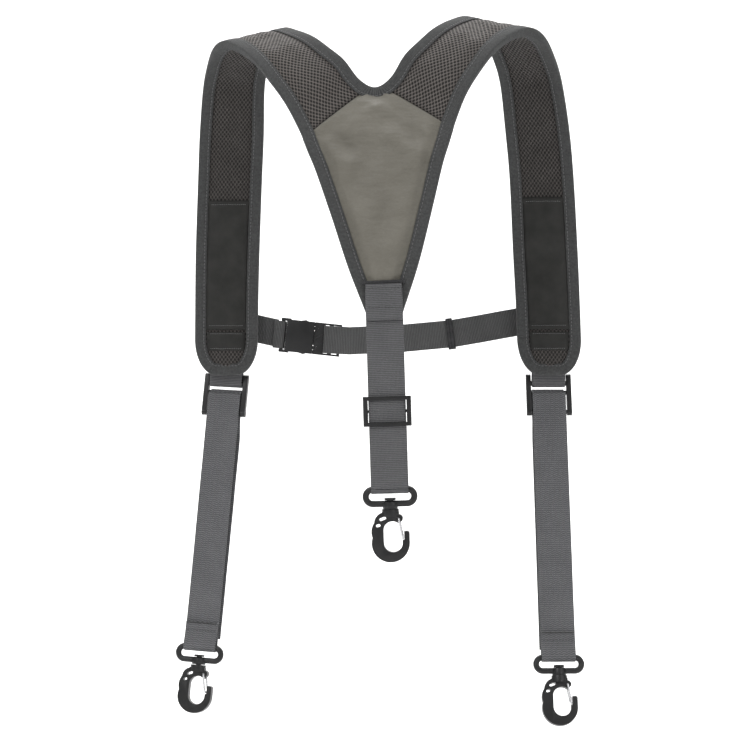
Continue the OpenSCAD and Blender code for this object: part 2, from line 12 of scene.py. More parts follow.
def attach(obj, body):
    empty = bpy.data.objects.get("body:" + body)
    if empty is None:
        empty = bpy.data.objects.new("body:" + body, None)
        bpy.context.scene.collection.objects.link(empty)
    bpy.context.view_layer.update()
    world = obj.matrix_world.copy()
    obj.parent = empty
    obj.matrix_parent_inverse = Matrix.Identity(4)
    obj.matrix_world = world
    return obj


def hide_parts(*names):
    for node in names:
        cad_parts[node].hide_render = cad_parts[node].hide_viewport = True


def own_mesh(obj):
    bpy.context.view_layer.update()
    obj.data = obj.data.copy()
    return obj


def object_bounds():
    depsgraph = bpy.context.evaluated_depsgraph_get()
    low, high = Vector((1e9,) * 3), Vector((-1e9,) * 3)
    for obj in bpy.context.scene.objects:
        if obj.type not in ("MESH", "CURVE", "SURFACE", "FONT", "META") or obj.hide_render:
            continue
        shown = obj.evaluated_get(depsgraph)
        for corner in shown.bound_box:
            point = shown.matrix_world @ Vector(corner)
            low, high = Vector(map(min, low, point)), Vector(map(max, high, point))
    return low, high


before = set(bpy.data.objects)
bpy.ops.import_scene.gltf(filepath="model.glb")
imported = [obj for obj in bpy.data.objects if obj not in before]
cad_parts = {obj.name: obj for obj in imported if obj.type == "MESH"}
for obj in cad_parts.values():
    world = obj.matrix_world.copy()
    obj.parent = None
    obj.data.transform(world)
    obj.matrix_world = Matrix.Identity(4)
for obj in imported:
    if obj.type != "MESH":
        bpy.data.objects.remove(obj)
cad_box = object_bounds()
random.seed(7)
MM = 0.001
LEFT, RIGHT = -1, 1
SIDES = ((LEFT, "left"), (RIGHT, "right"))

# ---- driving sizes, as in the part's source ----
YOKE_LEAN = 3.4
PAD_SWAY = 4.0
PAD_T = 7.4
BIND_W = 10.0
END_ROUND = 19.5
WEB_W = 30.0
WEB_T = 1.4
CHEST_W = 25.0
STRAP_LEN = {LEFT: 239.0, RIGHT: 248.0}
BACK_LEN = 138.5
BAR_R = 2.6
NECK_ROW, PANEL_ROW, SEAM_ROW, END_START = 5, 6, 5.35, 18.45

RIBS = np.array([
    [[0, 0, -243], [14.5, 0, -243]], [[0, 2, -205], [28, 3, -205]],
    [[0, 8, -165], [39.5, 8, -165]], [[0, 17, -125], [51, 16, -125]],
    [[0, 27, -88], [57.6, 21.2, -106]], [[0, 36, -57], [60.2, 24.2, -98]],
    [[13, 37, -49.5], [63.5, 28, -89]], [[25, 40, -32], [74, 34, -66]],
    [[37, 47, -20], [88, 44, -44]], [[50, 58, -8], [102, 57, -25]],
    [[64, 74, 1], [118, 76, -10]], [[78, 93, 7], [132, 97, -3]],
    [[90, 118, 2], [143, 115, -6]], [[99, 142, -14], [151, 134, -17]],
    [[105, 160, -36], [158, 153, -36]], [[108.5, 177, -75], [164.5, 173, -75]],
    [[112, 189, -118], [168.5, 187, -118]], [[115, 196, -182], [172, 195, -182]],
    [[117, 197, -235], [173.5, 197, -235]], [[118, 196, -293], [174.5, 196, -293]]], float)
LAST = len(RIBS) - 1
PIVOT_Z, PAD_LEN = -20.0, 293.0


# ---- small vector helpers ----
def unit(v):
    return v / np.linalg.norm(v)


def smooth(x):
    c = min(1.0, max(0.0, x))
    return c * c * (3 - 2 * c)


def uneven(x, y, z):
    """Smooth random value between -1 and 1."""
    return noise.noise(Vector((x, y, z)))


def bump_curve(x, centre, width):
    return math.exp(-(((x - centre) / width) ** 2))


def spline(knots, t):
    count = len(knots)
    i = int(max(0, min(math.floor(t), count - 2)))
    f = t - i
    b, c = knots[i], knots[i + 1]
    a = knots[i - 1] if i > 0 else 2 * b - c
    d = knots[i + 2] if i + 2 < count else 2 * c - b
    return 0.5 * (2 * b + (c - a) * f + (2 * a - 5 * b + 4 * c - d) * f * f
                  + (3 * b - a - 3 * c + d) * f ** 3)


# ---- the two edges of each half of the yoke ----
def rolled(p, side, share, front):
    a = math.radians(YOKE_LEAN * share)
    x, z = p[0] * side, p[2] - PIVOT_Z
    sway = PAD_SWAY * max(0, -p[2]) / PAD_LEN if front else 0
    return np.array([x * math.cos(a) - z * math.sin(a) + sway, p[1],
                     PIVOT_Z + z * math.cos(a) + x * math.sin(a)])


def neck_share(i):
    return 0.86 + 0.07 * i if i < 2 else 1 if i < 11 else max(0, 1 - (i - 10) / 7)


def arm_share(i):
    return 0.86 + 0.07 * i if i < 2 else 1 if i < 7 else max(0, 1 - (i - 6) / 11)


SPINE = [rolled(RIBS[i][0], RIGHT, neck_share(i), False) for i in range(NECK_ROW + 1)]
NECKLINE = {s: [rolled(RIBS[PANEL_ROW][0], -s, neck_share(PANEL_ROW), False)]
            + [rolled(RIBS[i][0], s, neck_share(i), i >= 12) for i in range(NECK_ROW, LAST + 1)]
            for s in (LEFT, RIGHT)}
ARM = {s: [rolled(RIBS[i][1], s, arm_share(i), i >= 12) for i in range(LAST + 1)] for s in (LEFT, RIGHT)}


def raw_edge(side, t, arm):
    if arm:
        return spline(ARM[side], t)
    return spline(SPINE, t) if t < NECK_ROW else spline(NECKLINE[side], t - NECK_ROW + 1)


def edge(side, t, arm):
    p, q = raw_edge(side, t, arm), raw_edge(side, t, not arm)
    if t <= END_START:
        return p
    u = min(1, (t - END_START) / (LAST - END_START))
    return p + unit(q - p) * END_ROUND * (1 - math.sqrt(max(0, 1 - u * u)))


def normal(side, t):
    k = smooth((t - NECK_ROW) / 3)
    whole = unit(raw_edge(RIGHT, t, True) - raw_edge(LEFT, t, True)) * side
    own = unit(raw_edge(side, t, True) - raw_edge(side, t, False))
    lo, hi = max(0, t - 0.3), min(LAST, t + 0.3)
    along = unit(raw_edge(side, hi, True) - raw_edge(side, lo, True))
    along = along + k * unit(raw_edge(side, hi, False) - raw_edge(side, lo, False))
    return unit(side * np.cross(unit(whole + (own - whole) * k), along))


# ---- mesh making ----
def new_object(name, verts, faces, uvs=None, material=None):
    """An object from points in millimetres; uvs holds one (across, along) pair per point, also in mm."""
    mesh = bpy.data.meshes.new(name)
    mesh.from_pydata([tuple(np.asarray(v) * MM) for v in verts], [], [tuple(f) for f in faces])
    if uvs is not None:
        layer = mesh.uv_layers.new(name="weave")
        index = np.empty(len(mesh.loops), int)
        mesh.loops.foreach_get("vertex_index", index)
        layer.data.foreach_set("uv", np.asarray(uvs, float)[index].ravel())
    mesh.polygons.foreach_set("use_smooth", [True] * len(mesh.polygons))
    mesh.validate()
    obj = bpy.data.objects.new(name, mesh)
    bpy.context.collection.objects.link(obj)
    if material:
        mesh.materials.append(material)
    return obj


def carry(obj, place):
    """Moves a mesh made in a place's own millimetres to that place."""
    for step in (Matrix.Scale(1 / MM, 4), place, Matrix.Scale(MM, 4)):
        obj.data.transform(step)


def finish_piece(obj, body, slot, *nodes):
    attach(obj, body)
    if nodes:
        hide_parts(*nodes)
    return obj


def apply_modifiers(obj):
    deps = bpy.context.evaluated_depsgraph_get()
    deps.update()
    mesh = bpy.data.meshes.new_from_object(obj.evaluated_get(deps))
    obj.modifiers.clear()
    old = obj.data
    obj.data = mesh
    bpy.data.meshes.remove(old)


def strip_faces(rows, columns, closed=False, flip=False):
    """Quads over a grid of points, closed round its columns if asked, ends open."""
    out = []
    for i in range(rows - 1):
        for j in range(columns if closed else columns - 1):
            a, b = i * columns + j, i * columns + (j + 1) % columns
            quad = (a, b, b + columns, a + columns)
            out.append(quad[::-1] if flip else quad)
    return out


def rim_faces(m, n, base=0, open_row=0):
    """Quads that join the rims of two stacked m by n grids; their first column is open from open_row on."""
    k, out = m * n, []
    for i in range(m - 1):
        for j in ([0] if i >= open_row else []) + [n - 1]:
            a, b = base + i * n + j, base + (i + 1) * n + j
            out.append([a, b, b + k, a + k])
    for j in range(n - 1):
        for a in (base + j, base + (m - 1) * n + j):
            out.append([a, a + 1, a + 1 + k, a + k])
    return out


def sweep(name, points, across, up, profile, material, lift=None):
    """A closed profile of (across, up) offsets carried along a path, with capped ends."""
    points = np.asarray(points, float)
    along, rim = run_of(points), run_of(profile)
    verts, uvs = [], []
    for k, p in enumerate(points):
        for j, (a, b) in enumerate(profile):
            extra = lift(along[k], a, b) if lift else 0
            verts.append(p + across[k] * a + up[k] * (b + extra))
            uvs.append((rim[j], along[k]))
    m, n = len(points), len(profile)
    faces = strip_faces(m, n, closed=True)
    faces += [tuple(range(n))[::-1], tuple((m - 1) * n + j for j in range(n))]
    obj = new_object(name, verts, faces, uvs, material)
    mend_normals(obj)
    return obj


def run_of(points):
    """Distance of each point from the first one, along the line through them."""
    return np.concatenate([[0], np.cumsum(np.linalg.norm(np.diff(points, axis=0), axis=1))])


def mend_normals(obj):
    bm = bmesh.new()
    bm.from_mesh(obj.data)
    bmesh.ops.recalc_face_normals(bm, faces=bm.faces)
    bm.to_mesh(obj.data)
    bm.free()


def resample(points, step, *others):
    """Points and matching vectors at an even spacing along the same line."""
    points = np.asarray(points, float)
    along = run_of(points)
    keep = np.concatenate([[True], np.diff(along) > 1e-6])
    count = max(2, int(round(along[-1] / step)) + 1)
    at = np.linspace(0, along[-1], count)

    def pick(values):
        values = np.asarray(values, float)[keep]
        return np.stack([np.interp(at, along[keep], values[:, k]) for k in range(3)], axis=1)

    return [pick(points)] + [np.array([unit(v) for v in pick(o)]) for o in others]


# ---- materials ----
class Paint:
    """A principled material with short calls for its nodes."""

    def __init__(self, name, roughness, **sockets):
        self.mat = bpy.data.materials.new(name)
        self.mat.use_nodes = True
        self.tree = self.mat.node_tree
        self.shader = self.tree.nodes["Principled BSDF"]
        self.shader.inputs["Roughness"].default_value = roughness
        for key, value in sockets.items():
            self.shader.inputs[key.replace("_", " ")].default_value = value

    def node(self, kind, **settings):
        made = self.tree.nodes.new("ShaderNode" + kind)
        for key, value in settings.items():
            setattr(made, key, value)
        return made

    def plug(self, value, socket):
        if isinstance(value, bpy.types.NodeSocket):
            self.tree.links.new(value, socket)
        else:
            socket.default_value = value

    def math(self, op, *values):
        made = self.node("Math", operation=op)
        for value, socket in zip(values, made.inputs):
            self.plug(value, socket)
        return made.outputs[0]

    def plus(self, a, b):
        return self.math("ADD", a, b)

    def times(self, a, b):
        return self.math("MULTIPLY", a, b)

    def scaled(self, value, factor, offset):
        return self.math("MULTIPLY_ADD", value, factor, offset)

    def weave(self):
        """Across and along coordinates of the cloth, in millimetres."""
        split = self.node("SeparateXYZ")
        self.tree.links.new(self.node("UVMap", uv_map="weave").outputs[0], split.inputs[0])
        return split.outputs[0], split.outputs[1]

    def noise(self, scale, detail=3.0, stretch=(1, 1, 1)):
        """Soft noise over the object's own space; scale counts per metre."""
        place = self.node("Mapping")
        place.inputs["Scale"].default_value = stretch
        self.tree.links.new(self.node("TexCoord").outputs["Object"], place.inputs[0])
        made = self.node("TexNoise")
        self.tree.links.new(place.outputs[0], made.inputs["Vector"])
        made.inputs["Scale"].default_value = scale
        made.inputs["Detail"].default_value = detail
        made.inputs["Roughness"].default_value = 0.55
        return made.outputs["Fac"]

    def ramp(self, value, *stops):
        made = self.node("ValToRGB")
        ramp = made.color_ramp
        while len(ramp.elements) < len(stops):
            ramp.elements.new(0.5)
        for element, (place, colour) in zip(ramp.elements, stops):
            element.position = place
            grey = isinstance(colour, (int, float))
            element.color = (colour,) * 3 + (1,) if grey else tuple(colour) + (1,)
        self.plug(value, made.inputs[0])
        return made.outputs[0]

    def mix(self, factor, a, b):
        made = self.node("Mix", data_type="RGBA")
        self.plug(factor, made.inputs[0])
        for value, socket in ((a, made.inputs[6]), (b, made.inputs[7])):
            self.plug(tuple(value) + (1,) if isinstance(value, tuple) and len(value) == 3 else value, socket)
        return made.outputs[2]

    def colour(self, value):
        self.plug(value, self.shader.inputs["Base Color"])

    def rough(self, value):
        self.plug(value, self.shader.inputs["Roughness"])

    def bump(self, *layers):
        """Layers of (height, distance in millimetres), the last one on top."""
        last = None
        for height, distance in layers:
            made = self.node("Bump")
            made.inputs["Distance"].default_value = distance * MM
            self.plug(height, made.inputs["Height"])
            if last:
                self.tree.links.new(last, made.inputs["Normal"])
            last = made.outputs[0]
        self.tree.links.new(last, self.shader.inputs["Normal"])
        return self.mat


def wave(paint, value, period):
    """0 to 1 and back once per period."""
    turn = paint.times(value, 2 * math.pi / period)
    return paint.scaled(paint.math("SINE", turn), 0.5, 0.5)


def air_mesh(name, share):
    """Open hexagon knit: dark round holes between paler ribs, over dark foam; share darkens the ribs, and
    below 1 it paints shade into a darker copy of the same mesh.
    """
    paint = Paint(name, 0.72, Sheen_Weight=0.1, Sheen_Roughness=0.5, Specular_IOR_Level=0.3)
    u, v = paint.weave()
    pitch_u, pitch_v = 3.3, 4.6

    def hole(shift):
        a = paint.plus(paint.math("DIVIDE", u, pitch_u), shift)
        b = paint.plus(paint.math("DIVIDE", v, pitch_v), shift)
        a = paint.math("SUBTRACT", paint.math("FRACT", a), 0.5)
        b = paint.math("SUBTRACT", paint.math("FRACT", b), 0.5)
        return paint.math("SQRT", paint.plus(paint.times(a, a), paint.times(b, b)))

    near = paint.math("MINIMUM", hole(0.0), hole(0.5))
    rib = paint.ramp(near, (0.2, 0.0), (0.37, 1.0))
    thread = wave(paint, paint.plus(u, paint.times(v, 0.6)), 0.55)
    patchy = paint.noise(90, 4)
    tone = paint.times(paint.scaled(thread, 0.35, 0.65), paint.scaled(patchy, 0.7, 0.65))
    rib_colour = paint.mix(tone, tuple(share * c for c in (0.046, 0.041, 0.038)),
                           tuple(share * c for c in (0.138, 0.122, 0.112)))
    paint.colour(paint.mix(rib, (0.012, 0.0105, 0.0095), rib_colour))
    paint.rough(paint.scaled(rib, -0.18, 0.85))
    return paint.bump((rib, 0.7), (thread, 0.06), (paint.noise(260, 2), 0.12))


def canvas_cloth():
    """Plain woven polyester with a faint sheen and slightly uneven tone."""
    paint = Paint("panel_cloth", 0.58, Sheen_Weight=0.12, Sheen_Roughness=0.4, Specular_IOR_Level=0.35)
    u, v = paint.weave()
    warp, weft = wave(paint, u, 0.62), wave(paint, v, 0.7)
    grain = paint.times(warp, weft)
    slub = paint.noise(420, 2, stretch=(1, 1, 9))
    cloudy = paint.noise(26, 3)
    tone = paint.plus(paint.times(grain, 0.3), paint.times(slub, 0.45))
    tone = paint.plus(tone, paint.times(cloudy, 0.35))
    paint.colour(paint.ramp(tone, (0.25, (0.098, 0.091, 0.074)), (0.8, (0.178, 0.168, 0.141))))
    paint.rough(paint.scaled(slub, 0.2, 0.46))
    folds = paint.noise(17, 3, stretch=(1.0, 1.0, 2.6))
    return paint.bump((folds, 6.5), (paint.noise(60, 3), 0.9), (slub, 0.1), (grain, 0.07))


def tape_cloth(name, dark, light, period=1.1):
    """Woven edge tape: fine ribs across it and a slightly fuzzy tone."""
    paint = Paint(name, 0.85, Sheen_Weight=0.06, Sheen_Roughness=0.6, Specular_IOR_Level=0.18)
    u, v = paint.weave()
    ribs = wave(paint, v, period)
    fine = wave(paint, u, 0.8)
    fuzz = paint.noise(650, 3)
    tone = paint.plus(paint.times(ribs, 0.3), paint.times(fine, 0.15))
    tone = paint.plus(tone, paint.times(fuzz, 0.6))
    paint.colour(paint.ramp(tone, (0.25, dark), (0.85, light)))
    return paint.bump((paint.noise(120, 2), 0.25), (ribs, 0.16), (fine, 0.05), (fuzz, 0.08))


def webbing_cloth(name, zigzag, dark=(0.036, 0.036, 0.039), light=(0.142, 0.143, 0.15), period=1.45):
    """Ribbed webbing: cross ribs that run straight, or that wander in a shallow zigzag."""
    paint = Paint(name, 0.62, Sheen_Weight=0.08, Sheen_Roughness=0.4, Specular_IOR_Level=0.4)
    u, v = paint.weave()
    swing = paint.math("PINGPONG", u, 2.1)
    slant = paint.scaled(swing, zigzag, v)
    ribs = wave(paint, slant, period)
    cords = wave(paint, u, 1.05)
    fuzz = paint.noise(700, 3)
    worn = paint.noise(45, 3)
    tone = paint.plus(paint.times(ribs, 0.42), paint.times(cords, 0.16))
    tone = paint.plus(tone, paint.times(fuzz, 0.3))
    tone = paint.plus(tone, paint.times(worn, 0.22))
    paint.colour(paint.ramp(tone, (0.22, dark), (0.85, light)))
    paint.rough(paint.scaled(fuzz, 0.25, 0.48))
    return paint.bump((paint.noise(50, 2), 0.35), (ribs, 0.3), (cords, 0.14), (fuzz, 0.05))


def patch_cloth():
    paint = Paint("patch_cloth", 0.7, Sheen_Weight=0.06, Sheen_Roughness=0.5, Specular_IOR_Level=0.3)
    u, v = paint.weave()
    grain = paint.times(wave(paint, u, 0.9), wave(paint, v, 0.9))
    cloudy = paint.noise(70, 4)
    tone = paint.plus(paint.times(grain, 0.35), paint.times(cloudy, 0.65))
    paint.colour(paint.ramp(tone, (0.2, (0.009, 0.009, 0.008)), (0.85, (0.031, 0.0305, 0.028))))
    return paint.bump((paint.noise(50, 2), 0.5), (grain, 0.08))


def thread_paint(name, colour):
    paint = Paint(name, 0.6, Sheen_Weight=0.2, Specular_IOR_Level=0.4)
    paint.colour(paint.mix(paint.noise(900, 2), tuple(c * 0.7 for c in colour), colour))
    return paint.bump((paint.noise(2500, 2), 0.05))


def foam_paint():
    paint = Paint("foam", 0.95)
    cells = paint.noise(900, 3)
    paint.colour(paint.mix(cells, (0.018, 0.018, 0.018), (0.045, 0.045, 0.045)))
    return paint.bump((cells, 0.3))


def moulded_plastic():
    """Satin acetal: near black, fine moulding grain, slightly worn in tone."""
    paint = Paint("moulded_plastic", 0.4, Specular_IOR_Level=0.36, Coat_Weight=0.03, Coat_Roughness=0.35)
    grain = paint.noise(2600, 2)
    patchy = paint.noise(60, 4)
    paint.colour(paint.mix(patchy, (0.005, 0.005, 0.0055), (0.013, 0.013, 0.0135)))
    paint.rough(paint.scaled(patchy, 0.26, 0.26))
    return paint.bump((paint.noise(140, 2), 0.05), (grain, 0.02))


def spring_steel():
    paint = Paint("spring_steel", 0.25, Metallic=1.0)
    drawn = paint.noise(900, 3, stretch=(6, 6, 1))
    paint.colour(paint.mix(drawn, (0.5, 0.5, 0.51), (0.82, 0.82, 0.84)))
    paint.rough(paint.scaled(drawn, 0.22, 0.16))
    return paint.bump((drawn, 0.02))


MESH = air_mesh("air_mesh", 1.0)
# The lining is the same air mesh at half brightness: painted shade for the shadowed inner faces of the pads
# and yoke.
SHADED_LINING = air_mesh("lining_mesh_painted_shade", 0.5)
CANVAS = canvas_cloth()
TAPE = tape_cloth("binding_tape", (0.02, 0.0205, 0.0205), (0.084, 0.085, 0.085))
KEEPER = tape_cloth("keeper_tape", (0.014, 0.014, 0.015), (0.045, 0.045, 0.047))
WEB = webbing_cloth("webbing", 0.0, (0.031, 0.031, 0.033), (0.126, 0.126, 0.131))
CHEST_WEB = webbing_cloth("chest_webbing", 0.0, (0.018, 0.018, 0.0185), (0.083, 0.084, 0.084))
LEG_WEB = webbing_cloth("leg_webbing", 0.42, period=1.9)
PATCH = patch_cloth()
FOAM = foam_paint()
PLASTIC = moulded_plastic()
STEEL = spring_steel()
THREAD = thread_paint("thread_grey", (0.115, 0.115, 0.117))
DARK_THREAD = thread_paint("thread_dark", (0.03, 0.03, 0.03))


# ---- stitching ----
class Stitches:
    """Runs of short thread lengths, gathered into one mesh."""

    def __init__(self):
        self.verts, self.faces, self.uvs = [], [], []

    def one(self, start, end, up, radius):
        side = unit(np.cross(end - start, up))
        middle = (start + end) / 2
        rings = ((start, 0.35, -0.5), (start * 0.75 + end * 0.25, 0.95, 0.15), (middle, 1.05, 0.35),
                 (start * 0.25 + end * 0.75, 0.95, 0.15), (end, 0.35, -0.5))
        base, n = len(self.verts), 6
        for centre, size, rise in rings:
            for k in range(n):
                a = 2 * math.pi * k / n
                self.verts.append(centre + up * radius * rise
                                  + radius * size * (math.cos(a) * side + math.sin(a) * up))
                self.uvs.append((0.0, 0.0))
        for i in range(len(rings) - 1):
            for k in range(n):
                a, b = base + i * n + k, base + i * n + (k + 1) % n
                self.faces.append((a, b, b + n, a + n))
        self.faces.append(tuple(base + k for k in range(n))[::-1])
        self.faces.append(tuple(base + (len(rings) - 1) * n + k for k in range(n)))

    def run(self, line, ups, pitch=3.1, length=2.3, radius=0.3):
        line, ups = resample(line, pitch, ups)
        for k in range(len(line) - 1):
            step = line[k + 1] - line[k]
            gap = (1 - length / pitch) / 2
            wobble = np.cross(unit(step), ups[k]) * random.uniform(-0.12, 0.12)
            self.one(line[k] + step * gap + wobble, line[k + 1] - step * gap + wobble, ups[k], radius)

    def make(self, name, material, body):
        obj = new_object(name, self.verts, self.faces, self.uvs, material)
        mend_normals(obj)
        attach(obj, body)
        return obj


# ---- pads: a closed cushion, cloth-simulated, with a cover and a lining laid on its two faces ----
SEAM_GAP = 1.5        # inset of the cushion from the bound edge
COVER_T = 0.7
EDGE_DEPTH = 2.0      # the cushion's outer face below the row's outer face at its edges
CROWN = 1.5           # how far the cushion rises in the middle
CLOTH_FRAMES = 16


def under_tape(p, neck, arm, spine):
    """Distance in from the nearest bound edge of a row."""
    to_arm = np.linalg.norm(arm - p)
    return to_arm if spine else min(to_arm, np.linalg.norm(neck - p))


def row_points(side, t, columns, crown, spine=False):
    """Outer and inner points across one row, from the neck edge to the arm edge."""
    neck, arm, up = edge(side, t, False), edge(side, t, True), normal(side, t)
    across = unit(arm - neck)
    a = neck if spine else neck + across * SEAM_GAP
    b = arm - across * SEAM_GAP
    outer, inner = [], []
    for j in range(columns + 1):
        s = j / columns
        p = a + (b - a) * s
        swell = crown * smooth((under_tape(p, neck, arm, spine) - BIND_W + 2) / 12)
        outer.append(p - up * (EDGE_DEPTH - swell))
        inner.append(p - up * (PAD_T - EDGE_DEPTH + swell))
    return outer, inner


def weld(verts, faces):
    """Joins points that lie in the same place."""
    seen, index, kept = {}, [], []
    for k, v in enumerate(verts):
        key = tuple(np.round(v, 3))
        if key not in seen:
            seen[key] = len(kept)
            kept.append(k)
        index.append(seen[key])
    out = []
    for f in faces:
        g = [index[i] for i in f]
        h = [g[i] for i in range(len(g)) if g[i] != g[i - 1]]
        if len(set(h)) > 2:
            out.append(h)
    return kept, out


def cushion(name, grids, spine_rows):
    """A closed form from one or two pairs of (outer, inner) rows, and where each grid point went."""
    verts, faces, spans = [], [], []
    for outer, inner, flip in grids:
        m, n = len(outer), len(outer[0])
        base = len(verts)
        verts += [p for row in outer for p in row] + [p for row in inner for p in row]
        k = m * n
        part = [[base + i for i in f] for f in strip_faces(m, n, flip=not flip)]
        part += [[base + k + i for i in f] for f in strip_faces(m, n, flip=flip)]
        faces += part + rim_faces(m, n, base, spine_rows)
        spans.append((base, m, n, k))
    kept, faces = weld(verts, faces)
    lookup = {tuple(np.round(verts[k], 3)): i for i, k in enumerate(kept)}
    index = np.array([lookup[tuple(np.round(v, 3))] for v in verts])
    obj = new_object(name, [verts[k] for k in kept], faces, None, FOAM)
    mend_normals(obj)
    return obj, index, spans


def puff(obj, pinned, pressure, shrink, cap):
    """Inflates a cushion as cloth between its pinned points, then keeps the result."""
    mesh = obj.data
    count = len(mesh.vertices)
    rest = np.empty(count * 3)
    mesh.vertices.foreach_get("co", rest)
    rest = rest.reshape(-1, 3)
    group = obj.vertex_groups.new(name="held")
    group.add([int(i) for i in pinned], 1.0, "REPLACE")
    cloth = obj.modifiers.new("cloth", "CLOTH")
    s = cloth.settings
    s.quality = 6
    s.mass = 0.15
    s.tension_stiffness = s.compression_stiffness = s.shear_stiffness = 20
    s.bending_stiffness = 0.8
    s.use_pressure = True
    s.uniform_pressure_force = pressure
    s.shrink_min = -shrink
    s.vertex_group_mass = "held"
    s.effector_weights.gravity = 0
    cloth.collision_settings.use_collision = False
    scene = bpy.context.scene
    for step in range(1, CLOTH_FRAMES + 1):
        scene.frame_set(step)
    done = bpy.data.meshes.new_from_object(obj.evaluated_get(bpy.context.evaluated_depsgraph_get()))
    moved = np.empty(count * 3)
    done.vertices.foreach_get("co", moved)
    bpy.data.meshes.remove(done)
    obj.modifiers.clear()
    obj.vertex_groups.clear()
    scene.frame_set(1)
    shift = moved.reshape(-1, 3) - rest
    far = np.linalg.norm(shift, axis=1, keepdims=True)
    shift *= np.minimum(1, cap * MM / np.maximum(far, 1e-9))
    # The cloth stays flat under the edge tape and rises beyond it
    tree = kdtree.KDTree(len(pinned))
    for i in pinned:
        tree.insert(rest[i], i)
    tree.balance()
    reach = np.array([tree.find(p)[2] for p in rest]) / MM
    shift *= np.array([smooth((r - BIND_W + 1) / 10) for r in reach])[:, None]
    mesh.vertices.foreach_set("co", (rest + shift).ravel())
    mesh.update()


def laid_on(name, grid, material, thickness, inward, body, slot, *nodes):
    """A thin closed cloth standing off a grid of points by its own thickness. Returns its outer points."""
    m, n = grid.shape[:2]
    du = np.gradient(grid, axis=1)
    dv = np.gradient(grid, axis=0)
    up = np.cross(du, dv) * (-1 if inward else 1)
    up /= np.maximum(np.linalg.norm(up, axis=2, keepdims=True), 1e-9)
    top = grid + up * thickness
    low = grid + up * 0.1
    k = m * n
    verts = list(top.reshape(-1, 3)) + list(low.reshape(-1, 3))
    faces = strip_faces(m, n) + [[k + i for i in f][::-1] for f in strip_faces(m, n)]
    faces += rim_faces(m, n)
    obj = new_object(name, verts, faces, list(grid_uv(grid).reshape(-1, 2)) * 2, material)
    mend_normals(obj)
    finish_piece(obj, body, slot, *nodes)
    return top


def grid_uv(grid):
    """Across from the row's middle and along from the first row, in millimetres."""
    du = np.linalg.norm(np.diff(grid, axis=1), axis=2)
    u = np.concatenate([np.zeros((len(grid), 1)), np.cumsum(du, axis=1)], axis=1)
    u -= u[:, -1:] / 2
    mid = grid[:, grid.shape[1] // 2]
    v = run_of(mid)
    return np.stack([u, np.repeat(v[:, None], grid.shape[1], axis=1)], axis=2)


def rows_between(side, first, last, step):
    """Row values spaced evenly by length between two rows."""
    fine = np.linspace(first, last, 400)
    mid = np.array([(edge(side, t, True) + edge(side, t, False)) / 2 for t in fine])
    along = run_of(mid)
    count = int(round(along[-1] / step)) + 1
    return np.interp(np.linspace(0, along[-1], count), along, fine)


PAD_STEP = 3.6        # spacing of the cloth grid along a pad
PAD_COLUMNS = 16
pad_surface = {}      # side -> (row values, outer face, inner face) after the simulation
for side, word in SIDES:
    ts = rows_between(side, SEAM_ROW + 0.02, LAST - 0.002, PAD_STEP)
    ends = LAST - (LAST - END_START) * (1 - np.sin(np.radians([15, 30, 45, 60, 75, 84])))
    ts = np.sort(np.unique(np.concatenate([ts[ts < END_START], [END_START], ends])))
    rows = [row_points(side, t, PAD_COLUMNS, CROWN) for t in ts]
    outer = [r[0] for r in rows]
    inner = [r[1] for r in rows]
    body, index, spans = cushion(f"pad_cushion_{word}", [(outer, inner, side < 0)], 0)
    base, m, n, k = spans[0]
    grid = np.arange(m * n).reshape(m, n)
    held = set(grid[:, 0]) | set(grid[:, -1]) | set(grid[0]) | set(grid[-1])
    held |= {i + k for i in held}
    puff(body, {int(index[i]) for i in held}, 2.2, 0.012, 1.3)
    co = np.empty(len(body.data.vertices) * 3)
    body.data.vertices.foreach_get("co", co)
    co = co.reshape(-1, 3)[index] / MM
    pad_surface[side] = (ts, co[:k].reshape(m, n, 3), co[k:2 * k].reshape(m, n, 3))
    finish_piece(body, "harness", "foam", f"pad_foam_{word}")

for side, word in SIDES:
    ts, outer, inner = pad_surface[side]
    top = laid_on(f"shoulder_cover_{word}", outer, MESH, COVER_T, side < 0,
                  "harness", "air_mesh", f"shoulder_mesh_{word}")
    low = laid_on(f"pad_lining_skin_{word}", inner, SHADED_LINING, COVER_T, side > 0,
                  "harness", "air_mesh", f"pad_lining_{word}")
    pad_surface[side] = (ts, top, low)

# The yoke: both halves meet along the spine and part at the neckline
YOKE_COLUMNS = 15
yoke_t = np.concatenate([np.linspace(0.0, NECK_ROW, 56), np.linspace(NECK_ROW, SEAM_ROW, 6)[1:]])
yoke_grids = []
for side, word in SIDES:
    rows = [row_points(side, t, YOKE_COLUMNS, 0.9, spine=t <= NECK_ROW) for t in yoke_t]
    yoke_grids.append(([r[0] for r in rows], [r[1] for r in rows], side < 0))
spine_rows = int(np.argmax(yoke_t >= NECK_ROW - 1e-6))
yoke, index, spans = cushion("yoke_cushion", yoke_grids, spine_rows)
held = set()
for base, m, n, k in spans:
    grid = base + np.arange(m * n).reshape(m, n)
    mine = set(grid[:, -1]) | set(grid[0]) | set(grid[-1]) | set(grid[spine_rows:, 0])
    held |= {int(index[i]) for i in mine} | {int(index[i + k]) for i in mine}
puff(yoke, held, 1.6, 0.03, 2.4)
finish_piece(yoke, "harness", "foam", "back_foam")
co = np.empty(len(yoke.data.vertices) * 3)
yoke.data.vertices.foreach_get("co", co)
co = co.reshape(-1, 3)[index] / MM
yoke_faces = {}
for (side, word), (base, m, n, k) in zip(SIDES, spans):
    yoke_faces[side] = (co[base:base + k].reshape(m, n, 3), co[base + k:base + 2 * k].reshape(m, n, 3))


